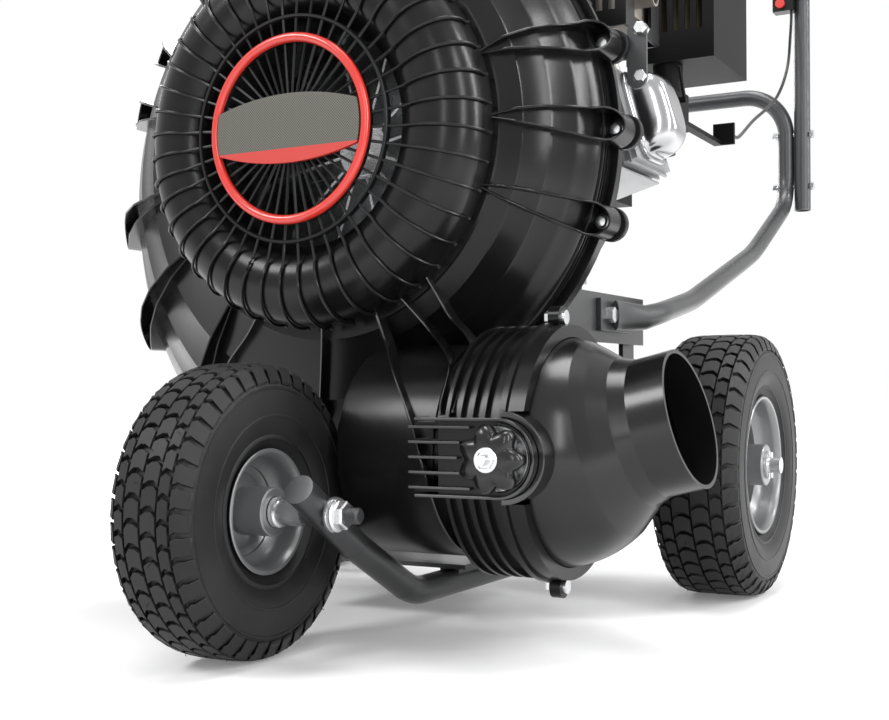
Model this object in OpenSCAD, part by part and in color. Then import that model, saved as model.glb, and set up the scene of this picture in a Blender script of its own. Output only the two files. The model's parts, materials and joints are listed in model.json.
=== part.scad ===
// Walk-behind leaf blower: a wheeled fan housing with a side nozzle, driven by a
// horizontal-shaft engine behind it. Millimetres. X points to the discharge side,
// Y points back to the handle, Z is up. The ground is at Z = 0.

/* [Fan and housing] */
// Height of the fan and engine shaft above the ground
shaft_h = 536; // [520:1:550]
// Diameter of the fan wheel
impeller_d = 430; // [400:1:432]
// Width of the fan wheel blades
impeller_w = 68; // [50:1:70]
// Number of fan wheel blades
blade_count = 12; // [8:1:16]
// Diameter of the intake throat
throat_d = 238; // [220:1:242]
// Outer diameter of the rounded intake bell
bell_d = 410; // [400:1:412]
// Wall of the moulded housing
shell_t = 4; // [3:0.5:5]
// Radius of the housing's round part
round_r = 276; // [274:1:278]
// Growth of the volute's radius from its start to its widest point
volute_gain = 174; // [164:1:180]
// Width of the joint flange around the housing
flange_w = 10; // [8:1:12]
// Distance of the joint flange behind the front wheel axle
flange_y = 302; // [300:1:306]
// Number of curved bars on the intake guard
bar_count = 44; // [24:2:48]
// Thickness of a guard bar
bar_t = 2.4; // [2:0.1:3]

/* [Discharge] */
// Height of the discharge duct's centre line
duct_h = 198; // [190:1:202]
// Outer diameter of the discharge duct
duct_d = 224; // [216:1:226]
// Outer diameter of the nozzle's ball
ball_d = 236; // [234:0.5:236.5]
// Outer diameter of the nozzle's mouth
mouth_d = 140; // [120:1:150]
// Distance from the ball's centre to the mouth
nozzle_l = 145; // [140:1:180]
// Upward tilt of the nozzle at rest
nozzle_tilt = 14; // [8:1:20]
// Wall of the nozzle
nozzle_t = 4; // [3:0.5:5]
// Radius of the clamp knob
knob_r = 28; // [24:1:30]

/* [Wheels] */
// Diameter of the rear tyres
rear_tyre_d = 330; // [320:1:340]
// Width of a rear tyre
rear_tyre_w = 112; // [104:1:118]
// Diameter of a rear rim's flange
rear_rim_d = 174; // [168:1:180]
// Diameter of the front tyre
front_tyre_d = 290; // [280:1:296]
// Width of the front tyre
front_tyre_w = 92; // [84:1:96]
// Diameter of the front rim's flange
front_rim_d = 124; // [118:1:130]
// Distance between the centres of the rear tyres
track = 635; // [625:1:650]
// Distance from the front axle to the rear axle
wheelbase = 598; // [590:1:604]
// Diameter of the rear axle shaft
axle_d = 20; // [18:1:22]

/* [Frame and handle] */
// Outside width of the engine deck
deck_w = 400; // [390:1:410]
// Height of the engine deck's top face
deck_h = 380; // [376:1:384]
// Height of the deck's folded sides
deck_side = 61; // [50:1:64]
// Thickness of the deck's sheet steel
sheet_t = 4; // [3:0.5:5]
// Diameter of the frame and handle tubes
tube_d = 28; // [25:1:29]
// Wall of the frame and handle tubes
tube_t = 2.5; // [2:0.5:3]
// Diameter of the front wheel's arm
arm_d = 30; // [28:1:32]
// Distance of the upright handle tubes behind the front axle
handle_y = 1290; // [1260:5:1320]
// Height of the grip bar
grip_h = 1070; // [1040:5:1090]

/* [Engine] */
// Distance of the engine's mounting face behind the front axle
engine_y = 425; // [424:1:428]
// Height of the engine's rubber mounts
mount_h = 24; // [22:1:26]
// Upward slope of the cylinder
bore_tilt = 16; // [14:1:18]
// Distance from the shaft to the valve cover's outer face
head_reach = 285; // [280:1:290]
// Diameter of the crankshaft
crank_d = 35; // [34:1:36]

/* [Hidden] */

$fn = 96;
cut = 1;            // how far a cutting body runs past the face that it opens
fit = 0.05;         // radial play of a running fit
gap = 0.3;          // play between bodies that pass each other
black = [0.06, 0.06, 0.065];
rubber = [0.09, 0.09, 0.09];
rim_grey = [0.42, 0.43, 0.44];
steel = [0.62, 0.63, 0.65];
paint_grey = [0.25, 0.25, 0.26];
cast = [0.55, 0.56, 0.57];
red = [0.85, 0.12, 0.08];

// Fan axis, housing sections and the volute's growing radius
throat_r = throat_d / 2;
bell_r = bell_d / 2;
bell_tube = (bell_r - throat_r) / 2;
bell_c = throat_r + bell_tube;
bell_y = 130;
face_y = 154;       // front wall of the housing, where the bell seats
bell_t = 3.5;
back_y = flange_y + 20;
duct_y = 200;
duct_r = duct_d / 2;
duct_x0 = 52;
duct_end = 205;
// The volute's wall is a spiral from angle volute_a0 to volute_a1. Its front edge
// steps back in layers of [inset, front face].
volute_a0 = 31;
volute_a1 = 290;
volute_steps = 37;
layers = [[26, 196], [14, 206], [5, 222], [0, 244]];
function spiral_r(a) = round_r + volute_gain * pow((min(a, 262) + 42) / 312, 2.2);
function radius_at(a) = a < volute_a0 ? round_r : spiral_r(a);
bolt_angles = [-19, 1, 20, 42, 64, 87, 110, 133, 153, 167, 191, 211, 234];
bracket_angle = 20;
bracket_t = 4;
bracket_holes = [[34, 18], [34, -34]]; // from the flange bolt that carries the bracket
flange_t = 8;
ear_t = 9;          // thickness of the flange at its bolts
web_t = 4;
hairpin_h = 21;     // how far the hairpin ribs stand proud of the side wall
hairpin_w = 17;     // half width of a hairpin rib at its boss
ear_w = 11.5;         // radius of a flange ear
function bolt_r(a) = radius_at(a) + 9;
function bolt_x(a) = bolt_r(a) * cos(a);
function bolt_z(a) = shaft_h + bolt_r(a) * sin(a);

// Intake guard
ring_r = 100;
ring_w = 10;
guard_y = 88;
mid_ring_r = 118;
hub_r = 22;
bar_rise = 3;
hoop_r = bell_c - 24; // where the flat bars meet the hoops

// Discharge and nozzle
ball_r = ball_d / 2;
ball_x = 255;
socket_r = ball_r + 0.8;
ball_open = 60;     // distance of the ball's open end behind its centre
mouth_r = mouth_d / 2;
neck_at = 62;       // where the neck leaves the ball
collar_r = 124;
band_r = 130;
collar_x = 190;
retainer_x = ball_x + 18;
ear_r = 138;
stud_r = 5;
pad_y = 62;         // front face of the knob's bracket
pad_r = 38;
washer_t = 3;
knob_t = 26;
knob_y = pad_y - washer_t - knob_t;

// Wheels
rear_r = rear_tyre_d / 2;
front_r = front_tyre_d / 2;
axle_r = axle_d / 2;
rim_hub_r = 20;
pin_x = track / 2 + (rear_tyre_w - 12) / 2 + gap + 5.5;
front_axle_r = 8;
arm_x = 95;
arm_r = arm_d / 2;

// Frame
deck_y0 = 345;
deck_y1 = 612;
deck_z0 = deck_h - deck_side;
leg_x = deck_w / 2 - 15;
leg_w = 60;
leg_t = 6;
base_z = 62;
base_t = 5;
base_y0 = 250;
base_y1 = 470;
base_half = 120;
tube_r = tube_d / 2;
lower_x = deck_w / 2 + tube_r + 14;
upper_x = lower_x + tube_d + 0.4;
loop_h = 786;
bend_r = 70;
foot_y = 556;
joint_zs = [618, 710];

// Engine
base_h = deck_h + mount_h;
case_l = 190;
case_half = 90;
mount_x = 104;
case_y1 = engine_y + case_l;
bore_y = 530;
dip_x = 66;         // oil filler in the front face of the crankcase
dip_y = engine_y + 10;
dip_z = 440;
bore_r = 38;
port_x = 195.5;      // the head's exhaust port
port_y = bore_y - 66;
port_z = shaft_h + 87.3;
case_r = 98;         // round part of the crankcase
crank_r = crank_d / 2;
shroud_y = case_y1;
shroud_l = 84;
recoil_y = shroud_y + shroud_l;
recoil_l = 42;
shroud_r = 128;
shaft_y0 = 216;
shaft_y1 = shroud_y + 66;

// The origin is on the ground below the middle of the machine's box
x_max = ball_x + nozzle_l * cos(nozzle_tilt) + mouth_r * sin(nozzle_tilt);
x_min = -track / 2 - rear_tyre_w / 2 - 12;
origin_x = (x_max + x_min) / 2;
origin_y = (handle_y + 130 + tube_r + 5 - front_r) / 2;

// Moves a sub-part from the front axle's frame to the model's origin
module placed() {
  translate([-origin_x, -origin_y, 0])
    children();
}

function unit(v) = v / norm(v);
function turn(a, b) = acos(unit(a) * unit(b));

// Revolves a profile of [radius, Y] points about the fan axis
module fan_turn() {
  translate([0, 0, shaft_h])
    rotate([-90, 0, 0])
      rotate_extrude()
        children();
}

// Revolves a profile of [radius, Y] points over part of the fan's circle
module fan_sector(a0, a1) {
  translate([0, 0, shaft_h])
    rotate([-90, 0, 0])
      rotate([0, 0, -a1])
        rotate_extrude(angle = a1 - a0)
          children();
}

// A cylinder along Y, from y0 to y1
module rod_y(r, y0, y1, x = 0, z = shaft_h) {
  translate([x, y0, z])
    rotate([-90, 0, 0])
      cylinder(r = r, h = y1 - y0);
}

// A cylinder along X, from x0 to x1
module rod_x(r, x0, x1, y = 0, z = 0) {
  translate([x0, y, z])
    rotate([0, 90, 0])
      cylinder(r = r, h = x1 - x0);
}

module rod_z(r, z0, z1, x = 0, y = 0) {
  translate([x, y, z0])
    cylinder(r = r, h = z1 - z0);
}

// A hexagon prism along Z
module hex(af, h) {
  cylinder(r = af / 2 / cos(30), h = h, $fn = 6);
}

// A box given by its two corners
module block(a, b) {
  translate(a)
    cube(b - a);
}

// Places a child modelled along +Z so that it runs from a towards b
module aim(a, b) {
  d = unit(b - a);
  translate(a)
    rotate([0, acos(d[2]), atan2(d[1], d[0])])
      children();
}

// A round bar along a list of points, with bends of radius bend at the corners. Each
// bend is a hair thicker than the straight runs, which lap into it. The ends can run
// past the first and last point.
module bent_bar(pts, r, bend, past = 0) {
  lap = 1.5;
  swell = 0.15;
  n = len(pts);
  trims = [for (i = [0 : n - 1])
    i == 0 || i == n - 1 ? -past
    : bend * tan(turn(pts[i] - pts[i - 1], pts[i + 1] - pts[i]) / 2) - lap];
  for (i = [0 : n - 2]) {
    d = unit(pts[i + 1] - pts[i]);
    a = pts[i] + d * trims[i];
    b = pts[i + 1] - d * trims[i + 1];
    aim(a, b)
      cylinder(r = r, h = norm(b - a));
  }
  for (i = [1 : n - 2]) {
    d0 = unit(pts[i] - pts[i - 1]);
    d1 = unit(pts[i + 1] - pts[i]);
    w = unit(cross(d0, d1));
    x = cross(d0, w);
    c = pts[i] - d0 * (trims[i] + lap) - x * bend;
    multmatrix([
      [x[0], d0[0], w[0], c[0]],
      [x[1], d0[1], w[1], c[1]],
      [x[2], d0[2], w[2], c[2]],
      [0, 0, 0, 1]])
      rotate_extrude(angle = turn(d0, d1))
        translate([bend, 0])
          circle(r = r + swell);
  }
}

module bent_tube(pts, r, bend, wall) {
  difference() {
    bent_bar(pts, r, bend);
    bent_bar(pts, r - wall, bend, cut);
  }
}

// ---- Housing ----

// Section of the housing's round part, offset inwards by t
module round_section(t, past = 0) {
  r = [round_r - 42, round_r - 24, round_r - 10, round_r];
  y = [face_y + 16, face_y + 50, face_y + 92, flange_y - 14];
  polygon([
    [60, face_y + t], [bell_r + 3 - t, face_y + t],
    for (i = [0 : 3])
      [r[i] - t, y[i]],
    [round_r - t, flange_y + past], [60, flange_y + past]]);
}

// Prism of the volute from y0 to y1, inset inwards. Its ends are trimmed by an angle.
module spiral(inset, y0, y1, trim = 0) {
  a0 = volute_a0 + trim;
  a1 = volute_a1 - trim;
  translate([0, y1, shaft_h])
    rotate([90, 0, 0])
      linear_extrude(y1 - y0)
        polygon([[0, 0],
          for (i = [0 : volute_steps])
            let (a = a0 + (a1 - a0) * i / volute_steps, r = spiral_r(a) - inset)
            [r * cos(a), r * sin(a)]]);
}

module duct_body(r, x0, x1) {
  rod_x(r, x0, x1, duct_y, duct_h);
}

module volute_outside() {
  fan_turn()
    round_section(0);
  for (l = layers)
    spiral(l[0], l[1], flange_y);
  duct_body(duct_r, duct_x0, duct_end);
}

module volute_inside() {
  wall_angle = 1;
  rod_y(61, face_y + shell_t, flange_y + cut);
  fan_turn()
    round_section(shell_t, cut);
  for (l = layers)
    spiral(l[0] + shell_t, l[1] + shell_t, flange_y + cut, wall_angle);
  duct_body(duct_r - shell_t, duct_x0 + shell_t, duct_end + cut);
}

// Rim that follows the housing from y0 to y1, and starts w inside the wall
module volute_flange(y0, y1, w) {
  fan_sector(volute_a1 - 360, volute_a0 + 2)
    translate([round_r - w, y0])
      square([w + flange_w, y1 - y0]);
  difference() {
    spiral(-flange_w, y0, y1);
    spiral(w, y0 - cut, y1 + cut, -1);
  }
}

module flange_ears(y0, y1) {
  for (a = bolt_angles)
    rod_y(ear_w, y0, y1, bolt_x(a), bolt_z(a));
}

module flange_holes(y0, y1) {
  for (a = bolt_angles)
    rod_y(4.2, y0, y1, bolt_x(a), bolt_z(a));
}

// One hairpin rib: two walls that part from a point at the bell's edge and run
// round a flange bolt's boss
module hairpin(angle) {
  wall = 3;
  translate([0, 0, shaft_h])
    rotate([0, -angle, 0])
      translate([bell_r - 6, 0, 0])
        rotate([90, 0, 90])
          linear_extrude(bolt_r(angle))
            difference() {
              hairpin_outline(hairpin_w);
              hairpin_outline(hairpin_w - wall);
            }
}

module hairpin_outline(w) {
  boss_y = flange_y - 8;
  union() {
    translate([boss_y, 0])
      circle(r = w);
    polygon([[face_y + 3 + (hairpin_w - w) * 4, 0], [boss_y, w], [boss_y, -w]]);
  }
}

// Profile that bounds a hairpin rib's height over the side wall
module hairpin_limit(a) {
  r = radius_at(a);
  y = layers[0][1] - 14;
  low = bell_r + 9;
  polygon([
    [low, y], [r - 22, y], [r + hairpin_h, y + 50],
    [r + hairpin_h, flange_y - 12], [low, flange_y - 12]]);
}

// The hairpin ribs, trimmed to end within the housing's wall
module hairpin_ribs() {
  half_t = shell_t / 2;
  reach = 6;
  difference() {
    for (a = bolt_angles)
      intersection() {
        fan_sector(a - reach, a + reach)
          hairpin_limit(a);
        hairpin(a);
      }
    fan_turn()
      round_section(half_t, cut);
    for (l = layers)
      spiral(l[0] + half_t, l[1] + half_t, flange_y + cut);
  }
}

module front_shell() {
  color(black)
    placed()
    union() {
      difference() {
        union() {
          volute_outside();
          volute_flange(flange_y - flange_t, flange_y, shell_t / 2);
          flange_ears(flange_y - ear_t, flange_y);
        }
        volute_inside();
        rod_y(throat_r + bell_t + gap, face_y - cut, face_y + shell_t + cut);
        flange_holes(flange_y - 40, flange_y + cut);
      }
      hairpin_ribs();
    }
}

module rear_shell() {
  hub_hole = 52;
  color(black)
    placed()
    difference() {
      union() {
        fan_turn()
          polygon([
            [hub_hole, back_y - shell_t], [round_r - 14, back_y - shell_t],
            [round_r - 8, flange_y], [round_r, flange_y],
            [round_r, flange_y + web_t - 0.5], [round_r - 5, flange_y + web_t - 0.5],
            [round_r - 11, back_y], [hub_hole, back_y]]);
        volute_flange(flange_y, flange_y + flange_t, 6);
        flange_ears(flange_y, flange_y + ear_t);
        difference() {
          spiral(3, flange_y, flange_y + web_t);
          rod_y(round_r - 3, flange_y - cut, flange_y + web_t + cut);
        }
        for (r = [90, 150, 210])
          fan_turn()
            translate([r, back_y - cut])
              square([3, 6]);
      }
      flange_holes(flange_y - cut, flange_y + 40);
      duct_body(duct_r + gap, duct_x0 - gap, duct_end);
      for (a = [45 : 90 : 315])
        rod_y(4.2, back_y - 10, back_y + 10, 66 * cos(a), shaft_h + 66 * sin(a));
    }
}

module intake_bell() {
  lip = face_y;
  color(black)
    placed()
    fan_turn() {
      difference() {
        translate([bell_c, bell_y])
          circle(r = bell_tube);
        translate([bell_c, bell_y])
          circle(r = bell_tube - bell_t);
        translate([0, bell_y])
          square([bell_r + cut, bell_tube + cut]);
      }
      translate([bell_r - bell_t, bell_y])
        square([bell_t, lip - bell_y]);
      translate([throat_r, bell_y])
        square([bell_t, shaft_y0 - 6 - bell_y]);
    }
}

// One bar of the guard's flat grille, over the throat
module guard_bar() {
  rotate([90, 0, 0])
    translate([0, 0, -bar_t / 2])
      linear_extrude(bar_t)
        polygon([[hub_r - 4, guard_y], [hub_r - 4, guard_y + 5], [mid_ring_r, guard_y + 8],
          [bell_c - 33, guard_y + 8], [hoop_r, guard_y + 4], [hoop_r, guard_y + 0.3]]);
}

// One hoop of the guard: it carries a bar of the grille over the bell, and stands with its
// foot on the housing's front wall
module guard_hoop() {
  rotate([90, 0, 0])
    translate([0, 0, -bar_t / 2])
      linear_extrude(bar_t) {
        difference() {
          translate([bell_c, bell_y])
            circle(r = bell_tube + gap + bar_rise + 2);
          translate([bell_c, bell_y])
            circle(r = bell_tube + gap);
          translate([0, bell_y + 14])
            square([bell_r + 20, bell_tube + 20]);
          translate([0, bell_y])
            square([bell_r + gap, bell_tube]);
          square([hoop_r, bell_y + 40]);
        }
        translate([bell_r + gap, bell_y + 8])
          square([2.4, face_y - bell_y - 8]);
      }
}

// Places a child at each bar of the guard
module at_bars() {
  translate([0, 0, shaft_h])
    rotate([-90, 0, 0])
      for (i = [0 : bar_count - 1])
        rotate([0, 0, (i + 0.5) * 360 / bar_count])
          children();
}

module intake_guard() {
  color(black)
    placed()
    union() {
      at_bars()
        guard_bar();
      fan_turn() {
        translate([mid_ring_r - 2, guard_y - 1])
          square([4, 8]);
        translate([ring_r - ring_w, guard_y - 0.5])
          square([ring_w, 5.5]);
        translate([0, guard_y - 1])
          square([hub_r, 7]);
      }
    }
}

module guard_hoops() {
  color(black)
    placed()
    at_bars()
      guard_hoop();
}

module guard_ring() {
  color(red)
    placed()
    fan_turn() {
      translate([ring_r - ring_w / 2, guard_y - 1.5])
        intersection() {
          circle(r = ring_w / 2);
          translate([-ring_w, -ring_w])
            square([2 * ring_w, ring_w + 1]);
        }
    }
}

// Lens-shaped plate across the red ring
module badge_plate() {
  half_h = 36;
  arch_r = 290;
  color([0.3, 0.29, 0.25])
    placed()
    intersection() {
      rod_y(ring_r - ring_w - gap, guard_y - 6, guard_y - 1);
      rod_y(arch_r, guard_y - 7, guard_y, 0, shaft_h - arch_r + half_h);
      rod_y(arch_r, guard_y - 7, guard_y, 0, shaft_h + arch_r - half_h);
    }
}

// Bolts of the joint flange, of which the one that holds the side bracket is longer, and
// the two bolts of the bracket
module shell_bolts() {
  head_y = flange_y - ear_t;
  color(steel)
    placed() {
      for (a = bolt_angles) {
        nut_y = flange_y + ear_t + (a == bracket_angle ? bracket_t : 0);
        rod_y(4, head_y, nut_y + 8, bolt_x(a), bolt_z(a));
        rod_y(7.5, head_y - 4, head_y, bolt_x(a), bolt_z(a));
        translate([bolt_x(a), nut_y, bolt_z(a)])
          rotate([-90, 0, 0])
            hex(13, 6);
      }
      for (p = bracket_holes) {
        x = bolt_x(bracket_angle) + p[0];
        z = bolt_z(bracket_angle) + p[1];
        y0 = flange_y + ear_t;
        rod_y(4, y0 - 6, y0 + bracket_t + 8, x, z);
        for (y = [y0 - 5, y0 + bracket_t])
          translate([x, y, z])
            rotate([-90, 0, 0])
              hex(13, 5);
      }
    }
}

// ---- Discharge ----

module ball_void(extra = 0) {
  translate([ball_x, duct_y, duct_h])
    sphere(r = socket_r + extra, $fn = 128);
}

module discharge_collar() {
  color(black)
    placed()
    difference() {
      union() {
        rod_x(collar_r, collar_x, ball_x, duct_y, duct_h);
        for (x = [0 : 13 : 39])
          rod_x(band_r, collar_x + x, collar_x + x + 4, duct_y, duct_h);
        rod_x(band_r + 3, ball_x - 6, ball_x, duct_y, duct_h);
        for (s = [-1, 1])
          rod_x(12, ball_x - 6, ball_x, duct_y, duct_h + s * ear_r);
        block([collar_x, pad_y, duct_h - pad_r], [ball_x, duct_y - 60, duct_h + pad_r]);
        rod_y(pad_r, pad_y, pad_y + 14, ball_x, duct_h);
        for (i = [-2 : 2])
          block([collar_x - 28, pad_y + 4, duct_h + i * 16 - 1.5],
            [collar_x + cut, duct_y - 90, duct_h + i * 16 + 1.5]);
        block([ball_x - 24, duct_y + 100, duct_h - 18],
          [ball_x, duct_y + ball_r + 14, duct_h + 18]);
        rod_y(18, duct_y + ball_r + 4, duct_y + ball_r + 14, ball_x, duct_h);
      }
      ball_void();
      rod_x(duct_r, collar_x - 40, duct_end, duct_y, duct_h);
      rod_x(duct_r - shell_t, duct_end - cut, ball_x - 20, duct_y, duct_h);
      rod_y(stud_r + fit, pad_y - cut, duct_y, ball_x, duct_h);
      rod_y(stud_r + fit, duct_y, duct_y + ball_r + 20, ball_x, duct_h);
      for (s = [-1, 1])
        rod_x(4.2, ball_x - 20, ball_x + 20, duct_y, duct_h + s * ear_r);
    }
}

module retainer_ring() {
  color(black)
    placed()
    difference() {
      union() {
        rod_x(band_r, ball_x, retainer_x, duct_y, duct_h);
        for (s = [-1, 1])
          rod_x(12, ball_x, ball_x + 6, duct_y, duct_h + s * ear_r);
      }
      ball_void();
      block([ball_x - cut, 0, duct_h - pad_r - 6], [retainer_x + cut, duct_y - 60, duct_h + pad_r + 6]);
      block([ball_x - cut, duct_y + 100, duct_h - 22],
        [retainer_x + cut, duct_y + band_r + 20, duct_h + 22]);
      for (s = [-1, 1])
        rod_x(4.2, ball_x - cut, retainer_x + cut, duct_y, duct_h + s * ear_r);
    }
}

module retainer_bolts() {
  color(steel)
    placed()
    for (s = [-1, 1]) {
      z = duct_h + s * ear_r;
      rod_x(4, ball_x - 12, ball_x + 10, duct_y, z);
      rod_x(7.5, ball_x + 6, ball_x + 10, duct_y, z);
      translate([ball_x - 12, duct_y, z])
        rotate([0, 90, 0])
          hex(13, 6);
    }
}

// Solid of the nozzle about its own axis: a ball that necks down to a short tube
module nozzle_section(t) {
  r = ball_r - t;
  neck_r = sqrt(ball_r * ball_r - neck_at * neck_at) - t;
  intersection() {
    circle(r = r, $fn = 128);
    translate([0, -ball_open])
      square([r, neck_at + ball_open]);
  }
  polygon([
    [0, neck_at - cut], [neck_r, neck_at], [neck_r - 10, neck_at + 12],
    [mouth_r + 6 - t, neck_at + 28], [mouth_r - t, neck_at + 44],
    [mouth_r - t, nozzle_l + (t > 0 ? cut : 0)], [0, nozzle_l + (t > 0 ? cut : 0)]]);
}

module nozzle() {
  color(black)
    placed()
    translate([ball_x, duct_y, duct_h])
      rotate([0, 90 - nozzle_tilt, 0])
        difference() {
          rotate_extrude($fn = 128)
            nozzle_section(0);
          rotate_extrude($fn = 128)
            nozzle_section(nozzle_t);
          translate([0, 0, -ball_open - cut])
            cylinder(r = ball_r - nozzle_t - 16, h = 2 * cut);
          rotate([90, 0, 0])
            cylinder(r = stud_r, h = 4 * ball_r, center = true);
        }
}

module pivot_stud() {
  color(steel)
    placed() {
    rod_y(stud_r, knob_y - 12, duct_y - ball_r + nozzle_t + 6, ball_x, duct_h);
    rod_y(11, duct_y - ball_r + nozzle_t + 1, duct_y - ball_r + nozzle_t + 6, ball_x, duct_h);
    rod_y(stud_r, duct_y + ball_r - nozzle_t - 6, duct_y + ball_r + 16, ball_x, duct_h);
    rod_y(11, duct_y + ball_r - nozzle_t - 6, duct_y + ball_r - nozzle_t - 1, ball_x, duct_h);
  }
}

module knob_washer() {
  color(steel)
    placed()
    difference() {
      rod_y(knob_r - 2, pad_y - washer_t, pad_y, ball_x, duct_h);
      rod_y(stud_r + fit, pad_y - washer_t - cut, pad_y + cut, ball_x, duct_h);
    }
}

module clamp_knob() {
  lobes = 7;
  color(black)
    placed()
    difference() {
      union() {
        rod_y(knob_r - 3, knob_y + 4, knob_y + knob_t - gap, ball_x, duct_h);
        for (i = [0 : lobes - 1])
          rod_y(7, knob_y + 5, knob_y + knob_t - 5, ball_x + (knob_r - 7) * cos(i * 360 / lobes),
            duct_h + (knob_r - 7) * sin(i * 360 / lobes));
        translate([ball_x, knob_y - 4, duct_h])
          rotate([-90, 0, 0])
            hex(16, 10);
      }
      rod_y(stud_r + fit, knob_y - 6, pad_y, ball_x, duct_h);
    }
}

// ---- Fan wheel and engine ----

module impeller() {
  y1 = back_y - shell_t - 20;
  y0 = y1 - impeller_w;
  r = impeller_d / 2;
  color(steel)
    placed()
    difference() {
      union() {
        rod_y(r, y1 - 3, y1);
        rod_y(32, y0 + 4, y1 + 12);
        for (i = [0 : blade_count - 1])
          translate([0, 0, shaft_h])
            rotate([0, i * 360 / blade_count, 0])
              translate([0, y0, 0])
                rotate([0, 18, 0])
                  block([30, 0, -1.5], [r - 8, impeller_w - cut, 1.5]);
      }
      rod_y(crank_r, y0 - cut, y1 + 20);
    }
}

module impeller_bolt() {
  y0 = back_y - shell_t - 20 - impeller_w + 4;
  color(steel)
    placed() {
    translate([0, y0 - 14, shaft_h])
      rotate([-90, 0, 0])
        hex(19, 9);
    rod_y(28, y0 - 5, y0);
  }
}

module crankshaft() {
  y0 = back_y - shell_t - 20 - impeller_w + 4;
  color(cast)
    placed()
    union() {
      rod_y(crank_r, y0, shaft_y1);
      rod_y(34, bore_y - 28, bore_y - 14);
      rod_y(34, bore_y + 14, bore_y + 28);
      rod_y(14, bore_y - 20, bore_y + 20, 0, shaft_h + 22);
    }
}

module flywheel() {
  y0 = shroud_y + 16;
  r = shroud_r - 18;
  color(cast)
    placed()
    difference() {
      union() {
        rod_y(r, y0, y0 + 12);
        rod_y(30, y0 - 8, y0 + 30);
        for (i = [0 : 15])
          translate([0, 0, shaft_h])
            rotate([0, i * 22.5, 0])
              block([50, y0 + 12 - cut, -1.5], [r - 4, y0 + 32, 1.5]);
      }
      rod_y(crank_r, y0 - 20, y0 + 40);
    }
}

module engine_adapter() {
  color(cast)
    placed()
    difference() {
      union() {
        rod_y(78, back_y, back_y + 8);
        rod_y(58, back_y, engine_y);
        rod_y(84, engine_y - 10, engine_y);
      }
      rod_y(crank_r + 8, back_y - cut, engine_y + cut);
      for (a = [45 : 90 : 315])
        rod_y(4.2, back_y - cut, back_y + 10, 66 * cos(a), shaft_h + 66 * sin(a));
    }
}

// Places children on the sloping cylinder's own axis, which runs along +Z
module on_bore() {
  translate([0, bore_y, shaft_h])
    rotate([0, 90 - bore_tilt, 0])
      children();
}

module crankcase() {
  wall = 7;
  color(cast)
    placed()
    difference() {
      union() {
        rod_y(case_r, engine_y, case_y1);
        block([-mount_x - 16, engine_y + 6, base_h], [mount_x + 16, case_y1 - 4, base_h + 14]);
        block([-case_half, engine_y + 10, base_h + 4], [case_half, case_y1 - 4, shaft_h - 20]);
        on_bore()
          translate([-62, -62, 60])
            cube([124, 124, 56]);
      }
      rod_y(case_r - wall, engine_y + wall, case_y1 - wall);
      block([-case_half + wall, engine_y + 10 + wall, base_h + 14],
        [case_half - wall, case_y1 - 4 - wall, shaft_h - 20]);
      on_bore()
        translate([0, 0, 50])
          cylinder(r = bore_r, h = 80);
      rod_y(crank_r + fit, engine_y - cut, case_y1 + cut);
      for (x = [-mount_x, mount_x], y = [engine_y + 24, case_y1 - 24])
        rod_z(5.2, base_h - cut, base_h + 20, x, y);
      rod_y(9 + fit, dip_y - cut, dip_y + wall + cut, dip_x, dip_z);
    }
}

module cylinder_fins() {
  for (i = [0 : 7])
    translate([-58, -60, 121 + i * 9])
      cube([116, 120, 3]);
}

module cylinder_head() {
  head_z = 192;
  color(cast)
    placed()
    difference() {
      on_bore() {
        cylinder_fins();
        translate([0, 0, 116])
          cylinder(r = bore_r + 8, h = head_z - 116);
        translate([-60, -62, head_z])
          cube([120, 124, 46]);
        for (i = [0 : 3])
          translate([-64, -66, head_z + 6 + i * 10])
            cube([128, 132, 3]);
      }
      on_bore()
        translate([0, 0, 100])
          cylinder(r = bore_r, h = head_z - 100);
      on_bore()
        translate([-80, 32, head_z + 18])
          rotate([0, 90, 0])
            cylinder(r = 7, h = 30);
      on_bore()
        translate([-30, 0, head_z + 20])
          rotate([90, 0, 0])
            cylinder(r = 13, h = 140, center = true);
    }
}

module rocker_cover() {
  z0 = 238;
  color([0.85, 0.85, 0.86])
    placed()
    on_bore() {
      translate([-58, -44, z0])
        cube([116, 88, 5]);
      translate([0, 0, z0 + 4])
        intersection() {
          translate([-50, -37, 0])
            cube([100, 74, head_reach - z0 - 4]);
          translate([0, 0, head_reach - z0 - 4 - 120])
            rotate([90, 0, 0])
              cylinder(r = 120, h = 90, center = true);
        }
    }
}

module spark_plug() {
  color("white")
    placed()
    on_bore()
      translate([-64, 32, 210])
        rotate([0, -90, 0]) {
          translate([0, 0, -14])
            cylinder(r = 7, h = 16);
          hex(19, 8);
          cylinder(r = 6, h = 26);
          translate([0, 0, 18])
            cylinder(r = 10, h = 22);
        }
}

module fan_shroud() {
  t = 2.5;
  color(black)
    placed()
    difference() {
      union() {
        rod_y(shroud_r, shroud_y, recoil_y);
        block([0, shroud_y, shaft_h - 20], [shroud_r + 30, recoil_y - 12, shaft_h + shroud_r - 10]);
      }
      rod_y(shroud_r - t, shroud_y + t, recoil_y + cut);
      block([0, shroud_y + t, shaft_h - 20 + t],
        [shroud_r + 30 - t, recoil_y - 12 - t, shaft_h + shroud_r - 10 - t]);
      rod_y(crank_r + 14, shroud_y - cut, shroud_y + t + cut);
    }
}

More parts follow.
